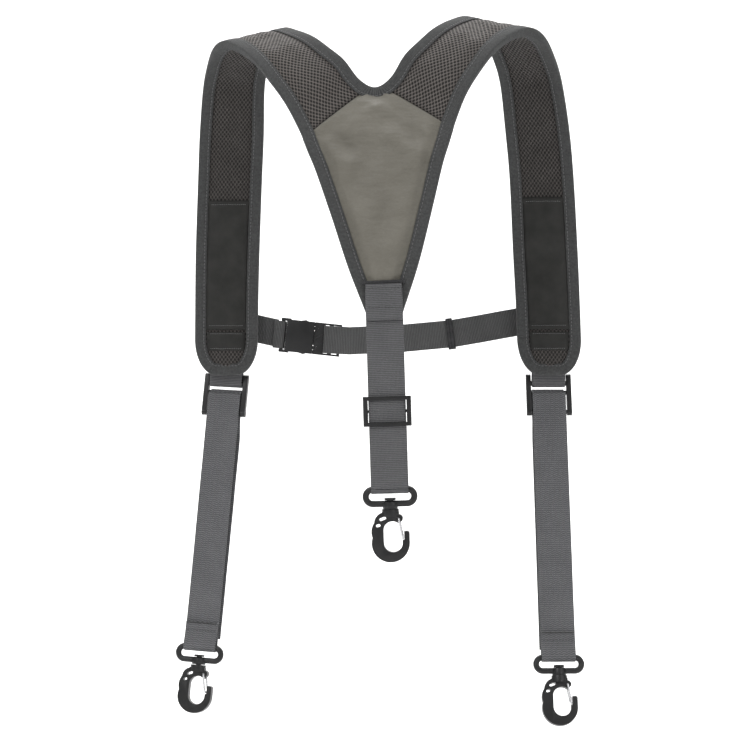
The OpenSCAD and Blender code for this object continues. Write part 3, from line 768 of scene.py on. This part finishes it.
def crease(p, a, b, depth, width):
    """A soft valley or ridge along the line from a to b, both (x, z)."""
    a, b = np.array(a, float), np.array(b, float)
    q = np.array([p[0], p[2]])
    f = min(1.15, max(-0.15, np.dot(q - a, b - a) / np.dot(b - a, b - a)))
    far = np.linalg.norm(q - (a + (b - a) * f)) / width
    fade = smooth((0.15 + f) / 0.3) * smooth((1.15 - f) / 0.3)
    return depth * math.exp(-far * far) * fade


PANEL_CREASES = [((-40, -92), (-16, -112), -1.5, 6), ((-40, -104), (-14, -124), 1.3, 6),
                 ((-8, -70), (-26, -98), 0.9, 5), ((14, -82), (46, -106), -1.4, 6),
                 ((10, -95), (40, -118), 1.1, 6), ((2, -118), (-18, -142), -1.1, 7),
                 ((18, -150), (6, -174), -1.2, 6), ((-10, -160), (14, -196), 1.0, 8),
                 ((24, -176), (12, -200), 0.9, 6), ((-2, -60), (4, -78), 0.8, 6)]


def panel_wrinkles(grid, flat):
    """Moves the panel's outer face along its creases; flat is the same grid before the simulation."""
    out = grid.copy()
    for i in range(len(grid)):
        for j in range(grid.shape[1]):
            p = grid[i, j]
            inset = np.linalg.norm(flat[i, j] - flat[i, -1])
            if i > spine_rows - 6:
                inset = min(inset, np.linalg.norm(flat[i, j] - flat[max(i, spine_rows), 0]))
            edge_fade = smooth((inset - BIND_W + 2) / 9) * smooth(i / 4) * smooth((len(grid) - 1 - i) / 3)
            rise = 2.1 * sum(crease(p, *c) for c in PANEL_CREASES)
            rise += 1.3 * uneven(p[0] / 17, p[1] / 17, p[2] / 13)
            out[i, j, 1] -= (rise + 2.8) * edge_fade
    return out


for piece, which, material, slot, node in (
        ("back_panel_cloth", 0, CANVAS, "panel_cloth", "back_panel"),
        ("back_lining_skin", 1, SHADED_LINING, "air_mesh", "back_lining")):
    verts, faces, uvs = [], [], []
    for (side, word), (flat, *_) in zip(SIDES, yoke_grids):
        grid = yoke_faces[side][which]
        if which == 0:
            grid = panel_wrinkles(grid, np.array(flat))
        m, n = grid.shape[:2]
        up = np.array([normal(side, t) for t in yoke_t])[:, None, :] * (1 if which == 0 else -1)
        top, low = grid + up * COVER_T, grid + up * 0.1
        if verts:      # the second half takes the first one's points along the spine
            top[:spine_rows + 1, 0] = spine[0]
            low[:spine_rows + 1, 0] = spine[1]
        spine = top[:spine_rows + 1, 0].copy(), low[:spine_rows + 1, 0].copy()
        base = len(verts)
        size = m * n
        verts += list(top.reshape(-1, 3)) + list(low.reshape(-1, 3))
        dist = run_of(grid[:, 0])
        plane = [(p[0], dist[i // n]) for i, p in enumerate(grid.reshape(-1, 3))]
        uvs += plane * 2
        faces += [[base + i for i in f] for f in strip_faces(m, n)]
        faces += [[base + size + i for i in f] for f in strip_faces(m, n)]
        faces += rim_faces(m, n, base, spine_rows)
    kept, faces = weld(verts, faces)
    obj = new_object(piece, [verts[i] for i in kept], faces, [uvs[i] for i in kept], material)
    mend_normals(obj)
    smoother = obj.modifiers.new("sub", "SUBSURF")
    smoother.levels = 1
    apply_modifiers(obj)
    finish_piece(obj, "harness", slot, node)

# ---- edge binding: a U of tape folded over the sewn edge, sewn through near its inner edges ----
FOLD = [(1.1 * math.cos(a) - 0.6, -PAD_T / 2 + (PAD_T / 2 + 0.25) * math.sin(a))
        for a in np.radians(np.linspace(78, -78, 13))]
TAPE_OUT = [(-BIND_W, 0.05), (-BIND_W + 1.0, 0.12), (-BIND_W + 2.0, 0.02),
            (-7, 0.3), (-4.5, 0.45), (-2.2, 0.4)]
PROFILE = TAPE_OUT + FOLD + [(a, -PAD_T - b) for a, b in reversed(TAPE_OUT)]
PROFILE += [(-BIND_W, -PAD_T + 0.7), (-BIND_W + 3, -PAD_T + 0.75), (-1.5, -PAD_T + 0.8), (-1.5, -0.8),
            (-BIND_W + 3, -0.75), (-BIND_W, -0.7)]
STITCH_IN = BIND_W - 2.0
ROUND_FROM = 17       # row value where the tape stops following the rows and turns square to the edge


def puckers(seed):
    """Small rises of the tape between its stitches, and slower uneven ones."""
    def lift(along, a, b):
        share = smooth((a + BIND_W) / 3) * smooth(-a / 2) if a > -BIND_W else 0
        slow = uneven(along / 14, seed, a / 9) * 0.28
        quick = 0.1 * math.sin(2 * math.pi * along / 3.1) * bump_curve(a, -BIND_W + 3.4, 2.2)
        return (slow + quick) * share * (1 if b > -PAD_T / 2 else -1)
    return lift


def row_way(side, t, arm):
    """The straight row's own direction out of the pad at one of its edges."""
    own = unit(raw_edge(side, t, False) - raw_edge(side, t, True))
    if arm:
        return -own
    k = smooth((t - NECK_ROW) * 2)
    return unit(unit(SPINE[-1] - SPINE[-2]) * (1 - k) + own * k)


def edge_path(side, ts, arm):
    """Point, up vector, row direction and how far the tape follows that direction, along an edge."""
    return [(edge(side, t, arm), normal(side, min(t, LAST - 0.01)), row_way(side, t, arm),
             1 - smooth(t - ROUND_FROM)) for t in ts]


def bound_edge(name, path, flip, seed, node):
    line, raised, rows, share = zip(*path)
    points, ups, ways = resample(line, 1.55, raised, rows)
    run = run_of(line)
    follow = np.interp(np.linspace(0, run[-1], len(points)), run, share)
    tangent = np.gradient(points, axis=0)
    across = []
    for t, n, way, k in zip(tangent, ups, ways, follow):
        out = unit(np.cross(t, n)) * (1 if flip else -1)
        across.append(out * (1 - k) + way / np.dot(way, out) * k if k > 0.01 else out)
    across = np.array(across)
    obj = sweep(name, points, across, ups, PROFILE, TAPE, puckers(seed))
    finish_piece(obj, "harness", "binding_tape", node)
    for depth, way in ((0.0, 1), (-PAD_T, -1)):
        line = points - across * STITCH_IN + ups * (depth + way * 0.12)
        binding_thread.run(line, ups * way)


binding_thread = Stitches()
corner = END_START + (LAST - END_START) * np.sin(np.radians(np.linspace(4, 86, 12)))
for side, word in SIDES:
    down = edge_path(side, np.linspace(0, END_START, 260), True) + edge_path(side, corner, True)
    back = edge_path(side, corner[::-1], False) + edge_path(side, [END_START - 0.02], False)
    a, b = down[-1], back[0]
    across_end = [(a[0] + (b[0] - a[0]) * f, a[1], a[2], a[3]) for f in np.linspace(0.1, 0.9, 9)]
    bound_edge(f"binding_tape_{word}", down + across_end + back, side > 0, side * 3.0, f"binding_{word}")
neck_ts = np.linspace(NECK_ROW + 0.04, END_START - 0.023, 240)
neck = edge_path(LEFT, neck_ts[::-1], False) + edge_path(RIGHT, [NECK_ROW], False) \
    + edge_path(RIGHT, neck_ts, False)
bound_edge("binding_tape_neck", neck, False, 9.0, "binding_neck")
binding_thread.make("binding_stitches", THREAD, "harness")

# ---- places of the hanging parts, as in the part's source ----
def place(origin, *turns):
    out = Matrix.Translation(origin)
    for axis, degrees in turns:
        out = out @ Matrix.Rotation(math.radians(degrees), 4, axis)
    return out


HANG = {LEFT: ((-143.5, 203.2, -300.5), 3.1, -8, 9.5), RIGHT: ((149, 202.1, -300.5), -0.2, 4, 17.8)}
PAD_END = {s: place(h[0], ("Y", h[1]), ("Z", h[2])) for s, h in HANG.items()}
STRAP = {s: PAD_END[s] @ Matrix.Rotation(math.radians(-HANG[s][3]), 4, "X") for s in HANG}
BACK = place((11.5, 2.7, -246), ("Y", -1.7))
BUCKLE = place((-66, 202.9, -259.2), ("Z", 4.2), ("Y", 6))
LOOP_R = BAR_R + 0.35 + WEB_T / 2
LOCK_Z = -8.9
WRAP_R = 2.85
TAIL_Y = 8.4
FRONT_Y = -LOOP_R
STRIP_Y = 1.3
SLIDER_Z = -76.0


def arc(r, a0, a1, y=0.0, z=0.0, steps=14):
    return [(y + r * math.cos(a), z + r * math.sin(a)) for a in np.radians(np.linspace(a0, a1, steps))]


def down(path, z):
    return [(p[0], p[1] + z) for p in path]


def eased(path, step=1.6, rounds=2):
    """A (y, z) path with its corners eased, at an even spacing; its two ends stay."""
    pts = resample([(0, y, z) for y, z in path], 1.0)[0]
    for _ in range(rounds * 3):
        pts[1:-1] = (pts[:-2] + 2 * pts[1:-1] + pts[2:]) / 4
    return resample(pts, step)[0]


def band_profile(width, thick, columns=14):
    """A flat band with rounded selvages."""
    half, h = width / 2, thick / 2
    top = [(-half + 0.45 + (width - 0.9) * k / columns, h) for k in range(columns + 1)]
    left = [(-half + 0.12, h * 0.72), (-half, 0), (-half + 0.12, -h * 0.72)]
    right = [(half - 0.12, h * 0.72), (half, 0), (half - 0.12, -h * 0.72)]
    return top + right + [(a, -h) for a, _ in reversed(top)] + left[::-1]


def band(name, where, path, width, thick, material, body, *nodes, shift=0.0, waver=0.25, slot="webbing"):
    """Webbing that stays level across, along an eased path in the place's own Y and Z."""
    pts = eased(path)
    tangent = np.gradient(pts, axis=0)
    ups = np.array([unit(np.array([0, t[2], -t[1]])) for t in tangent])
    across = np.tile([1.0, 0, 0], (len(pts), 1))
    seed = sum(map(ord, name)) % 97
    total = len(pts) * 1.6

    def lift(along, a, b):
        ends = smooth(along / 12) * smooth((total - along) / 12)
        return waver * ends * uneven(along / 26, a / 30, seed)

    pts[:, 0] += shift
    obj = sweep(name, pts, across, ups, band_profile(width, thick), material, lift)
    carry(obj, where)
    return finish_piece(obj, body, slot, *nodes)


def local_stitches(thread, where, lines, pitch=2.6, length=1.9, radius=0.26):
    """Straight stitch lines given as pairs of points in the place's own space, raised towards the viewer."""
    up = where.to_3x3() @ Vector((0, -1, 0))
    for a, b in lines:
        ends = [np.array(where @ Vector(p)) for p in (a, b)]
        thread.run(ends, [np.array(up)] * 2, pitch, length, radius)


def sew(name, where, body, *seams):
    """Dark stitches on a hanging part. A seam is (lines,) or (lines, pitch, length, radius)."""
    thread = Stitches()
    for seam in seams:
        local_stitches(thread, where, *seam)
    thread.make(name, DARK_THREAD, body)


def tube(name, points, radius, material, rings=14):
    """A round wire along points, turned smoothly with no twist."""
    pts = resample(points, 0.35)[0]
    tangent = np.gradient(pts, axis=0)
    up = unit(np.cross(tangent[0], [0.31, 0.2, 0.9]))
    ups = []
    for t in tangent:
        t = unit(t)
        up = unit(up - t * np.dot(up, t))
        ups.append(up)
    across = np.array([unit(np.cross(unit(t), u)) for t, u in zip(tangent, ups)])
    profile = [(radius * math.cos(a), radius * math.sin(a))
               for a in np.linspace(0, 2 * math.pi, rings, endpoint=False)]
    return sweep(name, pts, across, np.array(ups), profile, material)


def rounded_line(corners, radius, steps=7):
    """A line through corners, each turned with an arc-like curve of about that radius."""
    corners = [np.array(c, float) for c in corners]
    out = [corners[0]]
    for a, b, c in zip(corners, corners[1:], corners[2:]):
        r = min(radius, np.linalg.norm(b - a) / 2, np.linalg.norm(c - b) / 2)
        p, q = b + unit(a - b) * r, b + unit(c - b) * r
        out += [(1 - f) ** 2 * p + 2 * f * (1 - f) * b + f * f * q for f in np.linspace(0, 1, steps)]
    return out + [corners[-1]]


# ---- hanging straps ----
for side, word in SIDES:
    at, length = STRAP[side], STRAP_LEN[side]
    r = 2.75 + WEB_T / 2
    loop = [(-r, 26), (-r, 8)] + arc(r, 180, 360) + [(r, 6), (WEB_T + 0.1 - r, 18), (WEB_T + 0.1 - r, 26)]
    band(f"pad_loop_web_{word}", PAD_END[side], loop, WEB_W, WEB_T, WEB, "harness", f"pad_loop_{word}",
         waver=0)
    run = [(-WRAP_R, LOCK_Z - 0.3), (-WRAP_R, -34), (-0.2, 60 - length), (-0.2, 20.4 - length)]
    web = band(f"leg_web_run_{word}", at, run, WEB_W, WEB_T, LEG_WEB, f"strap_{word}", f"leg_web_{word}",
               waver=0.5)
    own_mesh(web)
    tail = arc(WRAP_R, 180, 0, 0, LOCK_Z) + [(WRAP_R, -20), (WRAP_R, -33), (TAIL_Y, -50),
                                            (TAIL_Y, 8 - length)]
    band(f"leg_tail_web_{word}", at, tail, WEB_W - 1, WEB_T, LEG_WEB, f"strap_{word}", f"leg_tail_{word}",
         shift=-side, waver=0.5)
    fold = [(-2, 22), (-2.1, 12), (-LOOP_R, 3)] + arc(LOOP_R, 180, 360) \
        + [(LOOP_R, 3), (WEB_T + 0.3, 11), (-0.2, 16), (-0.2, 20)]
    band(f"leg_fold_web_{word}", at, down(fold, -length), WEB_W - 0.4, WEB_T, LEG_WEB, f"drop_{word}",
         f"leg_fold_{word}", waver=0)
    z = 19.5 - length
    # The first seam is a thick dark row along the fold's top edge, drawn as a bartack; it also paints in the
    # shadow line that the upper strap casts there (painted shadow).
    sew(f"leg_fold_stitches_and_shadow_line_{word}", at, f"drop_{word}",
        ([((-14, -2.95, z + 1.6), (14, -2.95, z + 1.6))], 0.95, 1.3, 0.62),
        ([((-13.5, -2.9, z - 5), (13.5, -2.9, z - 5))],))
    sew(f"pad_loop_stitches_{word}", PAD_END[side], "harness",
        ([((-13, -r - 0.8, z), (13, -r - 0.8, z)) for z in (9.5, 12)],))

# ---- centre strap on the back ----
over_y = FRONT_Y - WEB_T - 0.3
anchor_path = [(FRONT_Y - 3.1, -3), (FRONT_Y - 2.4, 0), (over_y, 5), (over_y, 26)]
band("back_anchor_web", BACK, anchor_path, WEB_W - 1, WEB_T, WEB, "harness", "back_anchor", waver=0.1)
back_web = band("back_web_run", BACK, [(FRONT_Y, 22), (FRONT_Y, 0.3 - BACK_LEN)], WEB_W, WEB_T, WEB,
                "harness", "back_web", waver=0.35)
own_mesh(back_web)
fold = arc(LOOP_R, 180, 360) + [(LOOP_R, 3), (STRIP_Y + 1.3, 14), (STRIP_Y + 1.3, 50)]
band("back_fold_web", BACK, down(fold, -BACK_LEN), WEB_W, 0.9, WEB, "drop_back", "back_fold", waver=0)
bar_y, strip_r = -0.5, 1.8
turn = [(STRIP_Y - 1.1, -18), (bar_y - 0.4, -8), (bar_y - strip_r, -1.5)] \
    + arc(strip_r, 180, 0, bar_y) + [(bar_y + strip_r, -2), (STRIP_Y, -7), (STRIP_Y, -52)]
band("slider_web_run", BACK, down(turn, SLIDER_Z), WEB_W - 0.4, 0.9, WEB, "slider_body", "slider_web",
     waver=0)
tip_line = rounded_line([(-16.4, 2, 27), (-15.8, FRONT_Y - 1.2, 27.2), (15.8, FRONT_Y - 1.2, 27.6),
                         (16.4, 2, 27.4)], 3)
tip_edge = tube("panel_tip_fold", tip_line, 1.25, KEEPER)
carry(tip_edge, BACK)
finish_piece(tip_edge, "harness", "binding_tape")
y = FRONT_Y - WEB_T - 1.05
sew("anchor_stitches", BACK, "harness", ([((-13, y, z), (13, y, z)) for z in (7, 22.5)],))

# ---- sternum strap ----
CHEST = [(-131, -247), (-112, -251.5), (-94, -255.5), (-66, -260), (-31, -262), (18, -259.7),
         (61, -255.7), (87, -251.2), (110, -247), (140, -242)]


def chest_point(x):
    bulge = 8 * max(0, 1 - ((x - 5) / 125) ** 2)
    return np.array([x, 197.6 + bulge, np.interp(x, [c[0] for c in CHEST], [c[1] for c in CHEST])])


def chest_frame(x):
    """Up and outward directions of the sternum strap at x."""
    along = unit(chest_point(x + 8) - chest_point(x - 8))
    out = unit(np.cross([0, 0, 1], along))
    return np.cross(along, out), out


# How far in front of the strap's centre line each layer lies
LEFT_RUN = 2.6


def right_run(x):
    return -4.4 + 6.2 * smooth((x - 15) / 80)


def free_tail(x):
    return 4.4 + (right_run(x) + 1.4 - 4.4) * smooth((x + 30) / 40)


def chest_band(name, x0, x1, shift, width, thick, *nodes):
    xs = np.linspace(x0, x1, max(4, int((x1 - x0) / 1.8)))
    pts, across, ups = [], [], []
    for x in xs:
        up, out = chest_frame(x)
        pts.append(chest_point(x) + out * shift(x))
        across.append(up)
        ups.append(out)
    seed = sum(map(ord, name)) % 97

    def lift(along, a, b):
        return 0.3 * uneven(along / 30, a / 30, seed)

    obj = sweep(name, pts, across, ups, band_profile(width, thick), CHEST_WEB, lift)
    return finish_piece(obj, "harness", "webbing", *nodes)


chest_band("sternum_run_left", -131, -97.4, lambda x: LEFT_RUN, CHEST_W, 1.2)
left_fold = [(-4.1, -2.5), (0.2, -2.5)] + [(3.6 + 2.5 * math.cos(a), 2.5 * math.sin(a))
                                          for a in np.radians(np.linspace(-80, 80, 11))] \
    + [(0.2, 2.5), (-4.1, 2.5)]
fold_points = [np.array(BUCKLE @ Vector((x - 30, y, 0))) for x, y in left_fold]
fold_tangent = np.gradient(np.array(fold_points), axis=0)
fold_across = np.array([np.array(BUCKLE.to_3x3() @ Vector((0, 0, 1)))] * len(fold_points))
fold_ups = np.array([unit(np.cross(t, a)) for t, a in zip(fold_tangent, fold_across)])
fold_obj = sweep("sternum_fold_left", fold_points, fold_across, fold_ups, band_profile(CHEST_W, 1.1),
                 CHEST_WEB)
finish_piece(fold_obj, "harness", "webbing", "sternum_web_left")
RIGHT_START, RIGHT_END = -54.6, 137.0
moving = [chest_band("sternum_run_right", RIGHT_START, RIGHT_END, right_run, CHEST_W, 1.2,
                     "sternum_web_right"),
          chest_band("sternum_free_tail", -36, 67, free_tail, CHEST_W - 1, 1.0, "sternum_tail")]


def keeper(x0, x1):
    """An elastic loop round both layers: outside, then back along the inside."""
    half_wide, half_deep, r = CHEST_W / 2 + 1.6, 2.5, 1.3
    rings = []
    for x, inset in ((x0, 0.0), (x0 + 0.6, -0.15), (x1 - 0.6, -0.15), (x1, 0.0), (x1, 0.7), (x0, 0.7)):
        up, out = chest_frame(x)
        mid = chest_point(x) + out * (right_run(x) + 0.7)
        ring = []
        for sx, sy in ((-1, -1), (1, -1), (1, 1), (-1, 1)):
            for a in np.radians(np.linspace(-30, 30, 4)):
                c = math.atan2(sy, sx) + a
                wide = sx * (half_wide - inset - r) + r * math.cos(c)
                deep = sy * (half_deep - inset - r) + r * math.sin(c)
                ring.append(mid + up * wide + out * deep)
        rings.append(ring)
    n = len(rings[0])
    faces = []
    for i in range(len(rings)):
        k = (i + 1) % len(rings)
        faces += [(i * n + j, i * n + (j + 1) % n, k * n + (j + 1) % n, k * n + j) for j in range(n)]
    uvs = [(j * 2.0, i * 2.0) for i in range(len(rings)) for j in range(n)]
    obj = new_object("sternum_keeper_loop", [p for ring in rings for p in ring], faces, uvs, KEEPER)
    mend_normals(obj)
    return finish_piece(obj, "harness", "binding_tape", "sternum_keeper")


moving.append(keeper(57.6, 63.6))
for obj in moving:
    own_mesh(obj)
thread = Stitches()
for x in (-110, -107.5, -101):
    base = chest_point(x) + np.array([0, LEFT_RUN - 0.9, 0])
    thread.run([base + np.array([0, 0, z]) for z in (-11, 11)], [np.array([0, -1.0, 0])] * 2, 2.6, 1.9, 0.26)
thread.make("sternum_stitches", DARK_THREAD, "harness")

# ---- moulded hardware: the CAD shapes with their edges eased ----
def eased_copy(node, radius, body):
    """The CAD's own shape with its sharp edges rounded."""
    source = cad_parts[node]
    obj = bpy.data.objects.new(f"{node}_moulded", source.data.copy())
    bpy.context.collection.objects.link(obj)
    obj.matrix_world = source.matrix_world
    bm = bmesh.new()
    bm.from_mesh(obj.data)
    bmesh.ops.remove_doubles(bm, verts=bm.verts, dist=2e-6)
    bmesh.ops.dissolve_limit(bm, angle_limit=math.radians(1.5), verts=bm.verts, edges=bm.edges)
    bm.to_mesh(obj.data)
    bm.free()
    bevel = obj.modifiers.new("bevel", "BEVEL")
    bevel.width = radius * MM
    bevel.segments = 3
    bevel.limit_method = "ANGLE"
    bevel.angle_limit = math.radians(38)
    bevel.use_clamp_overlap = True
    bevel.harden_normals = False
    apply_modifiers(obj)
    obj.data.polygons.foreach_set("use_smooth", [True] * len(obj.data.polygons))
    obj.data.set_sharp_from_angle(angle=math.radians(40))
    obj.data.materials.clear()
    obj.data.materials.append(PLASTIC)
    return finish_piece(obj, body, "hardware", node)


RING_PLACES = [(word, STRAP[side] @ Matrix.Translation((0, 0, -STRAP_LEN[side]))) for side, word in SIDES]
RING_PLACES.append(("back", BACK @ Matrix.Translation((0, 0, -BACK_LEN))))
GATE_PIN, GATE_TIP, GATE_Y = (6.6, -23.4), (9.4, -39.2), 4.9
for word, where in RING_PLACES:
    eased_copy(f"swivel_ring_{word}", 0.35, f"ring_{word}")
    eased_copy(f"snap_hook_{word}", 1.3, f"hook_{word}")
    corners = ((GATE_PIN, -1), (GATE_PIN, -GATE_Y), (GATE_TIP, -GATE_Y),
               (GATE_TIP, GATE_Y), (GATE_PIN, GATE_Y), (GATE_PIN, 1))
    line = rounded_line([(at[0], y, at[1]) for at, y in corners], 2.2)
    wire = tube(f"gate_wire_{word}", line, 0.82, STEEL)
    carry(wire, where)
    finish_piece(wire, f"gate_{word}", "gate_wire", f"hook_gate_{word}")
for node, radius, body in (("ladder_lock_left", 0.7, "strap_left"), ("ladder_lock_right", 0.7, "strap_right"),
                           ("back_slider", 0.6, "slider_body"), ("buckle_female", 0.8, "harness"),
                           ("buckle_male", 0.8, "buckle_male"), ("buckle_arm_upper", 0.6, "arm_upper"),
                           ("buckle_arm_lower", 0.6, "arm_lower")):
    eased_copy(node, radius, body)


def on_buckle(obj, body):
    carry(obj, BUCKLE)
    return finish_piece(obj, body, "hardware")


# A lip on the male half that meets the female's mouth, and a triangular rim moulded on its face
BOX_FACES = [(0, 1, 3, 2), (4, 6, 7, 5), (0, 4, 5, 1), (2, 3, 7, 6), (0, 2, 6, 4), (1, 5, 7, 3)]
lip_verts, lip_faces = [], []
for z0, z1 in ((-14.2, -10.9), (-6.3, 6.3), (10.9, 14.2)):
    lip_faces += [[len(lip_verts) + i for i in f] for f in BOX_FACES]
    lip_verts += [(x, y, z) for x in (2.06, 2.8) for y in (-3.1, 3.1) for z in (z0, z1)]
on_buckle(new_object("buckle_male_lip", lip_verts, lip_faces, [(v[1], v[2]) for v in lip_verts], PLASTIC),
          "buckle_male")
rim = rounded_line([(x, -3.4, z) for x, z in ((11, -1), (11, -4.8), (4.1, 0), (11, 4.8), (11, -1))], 0.9)
on_buckle(tube("buckle_male_rim", rim, 0.42, PLASTIC, 10), "buckle_male")


# ---- reinforcement strips on the inner face of each pad ----
def on_inner_face(side, t, share, margin, depth):
    """A point on the pad's inner face: share runs from the neck side to the arm side between the margins."""
    ts, _, grid = pad_surface[side]
    row = np.stack([[np.interp(t, ts, grid[:, j, k]) for k in range(3)] for j in range(grid.shape[1])])
    along = run_of(row)
    at = margin + (along[-1] - 2 * margin) * share
    p = np.array([np.interp(at, along, row[:, k]) for k in range(3)])
    return p - normal(side, t) * depth


def inner_strip(name, side, t0, t1, margin, thick, hem, material, slot, *nodes):
    """A strip of cloth laid on the inner face, slack in its middle, with a turned hem at each end."""
    columns = 12
    ts = rows_between(side, t0, t1, 1.7)
    grid = np.zeros((len(ts), columns + 1, 3))
    for i, t in enumerate(ts):
        f = i / (len(ts) - 1)
        end = min(i, len(ts) - 1 - i) * 1.7
        turned = hem * smooth(1.3 - abs(end - 2.2) / 2.4)
        slack = 0.7 * math.sin(math.pi * f)
        for j in range(columns + 1):
            s = j / columns
            loose = 0.5 * uneven(s * 2.2, f * 7, side * 5.0) * math.sin(math.pi * s)
            rise = turned + (slack + loose) * math.sin(math.pi * s) ** 0.5
            grid[i, j] = on_inner_face(side, t, s, margin, 0.15 + rise)
    return laid_on(name, grid, material, thick, side > 0, "harness", slot, *nodes)


PATCH_ROWS, TAB_ROWS = (16.27, 18.3), (18.34, 18.62)
patch_thread = Stitches()
for side, word in SIDES:
    top = inner_strip(f"chest_patch_cloth_{word}", side, *PATCH_ROWS, 8.3, 0.5, 0.7, PATCH, "patch_cloth",
                      f"chest_patch_{word}")
    tab = inner_strip(f"chest_tab_cloth_{word}", side, *TAB_ROWS, 9.5, 0.6, 0.4, PATCH, "patch_cloth",
                      f"chest_tab_{word}")
    for grid, rows in ((top, (2, -3)), (tab, (1, -2))):
        for row in rows:
            patch_thread.run(grid[row][1:-1], [-normal(side, 17.5)] * (grid.shape[1] - 2), 1.7, 1.4, 0.24)
patch_thread.make("patch_stitches", THREAD, "harness")

# ---- camera ----
TARGET = Vector((-0.0016, 0.095, -0.293))
DISTANCE, AZIMUTH = 1.595, math.radians(3.3)
camera = bpy.data.objects.new("camera", bpy.data.cameras.new("camera"))
camera.data.lens = 90
camera.data.sensor_width = 36
camera.location = TARGET + Vector((math.sin(AZIMUTH), -math.cos(AZIMUTH), 0)) * DISTANCE
camera.rotation_euler = (math.pi / 2, 0, AZIMUTH)
bpy.context.collection.objects.link(camera)
bpy.context.scene.camera = camera

# ---- stage and light ----
FLOOR_Z = cad_box[0][2] - 0.012


def backdrop():
    """A pale floor that curves up into a wall far behind the object."""
    turn, far = 0.9, 2.6
    line = [(-3.2, FLOOR_Z), (far - turn, FLOOR_Z)]
    line += [(far - turn + turn * math.sin(a), FLOOR_Z + turn * (1 - math.cos(a)))
             for a in np.radians(np.linspace(6, 90, 15))]
    line += [(far, FLOOR_Z + 3.4)]
    verts = [np.array([x, y, z]) / MM for y, z in line for x in (-4, 4)]
    paint = Paint("backdrop", 0.9)
    paint.colour(paint.mix(paint.noise(3, 2), (0.86, 0.86, 0.86), (0.9, 0.9, 0.9)))
    new_object("backdrop", verts, strip_faces(len(line), 2, flip=True), None, paint.mat)


def soft_light(name, place, aim, size, power):
    light = bpy.data.objects.new(name, bpy.data.lights.new(name, "AREA"))
    light.data.shape = "RECTANGLE"
    light.data.size, light.data.size_y = size
    light.data.energy = power
    light.location = place
    light.rotation_euler = (Vector(aim) - Vector(place)).to_track_quat("-Z", "Y").to_euler()
    bpy.context.collection.objects.link(light)


backdrop()
soft_light("key", (-1.3, -1.9, 1.3), (0, 0.05, -0.25), (1.3, 1.3), 30)
soft_light("fill", (1.7, -1.6, 0.5), (0, 0.05, -0.3), (1.4, 1.6), 13)
soft_light("top", (0, 0.1, 1.7), (0, 0.1, 0), (1.6, 1.2), 20)
soft_light("wall", (0, 1.0, 1.9), (0, 2.6, -0.2), (3.0, 1.0), 60)
soft_light("ground", (0, 0.9, 0.9), (0, 1.4, -0.7), (3.0, 0.6), 18)
world = bpy.data.worlds.new("world")
world.use_nodes = True
world.node_tree.nodes["Background"].inputs[0].default_value = (1, 1, 1, 1)
world.node_tree.nodes["Background"].inputs[1].default_value = 0.5
bpy.context.scene.world = world
bpy.context.scene.view_settings.view_transform = "Standard"
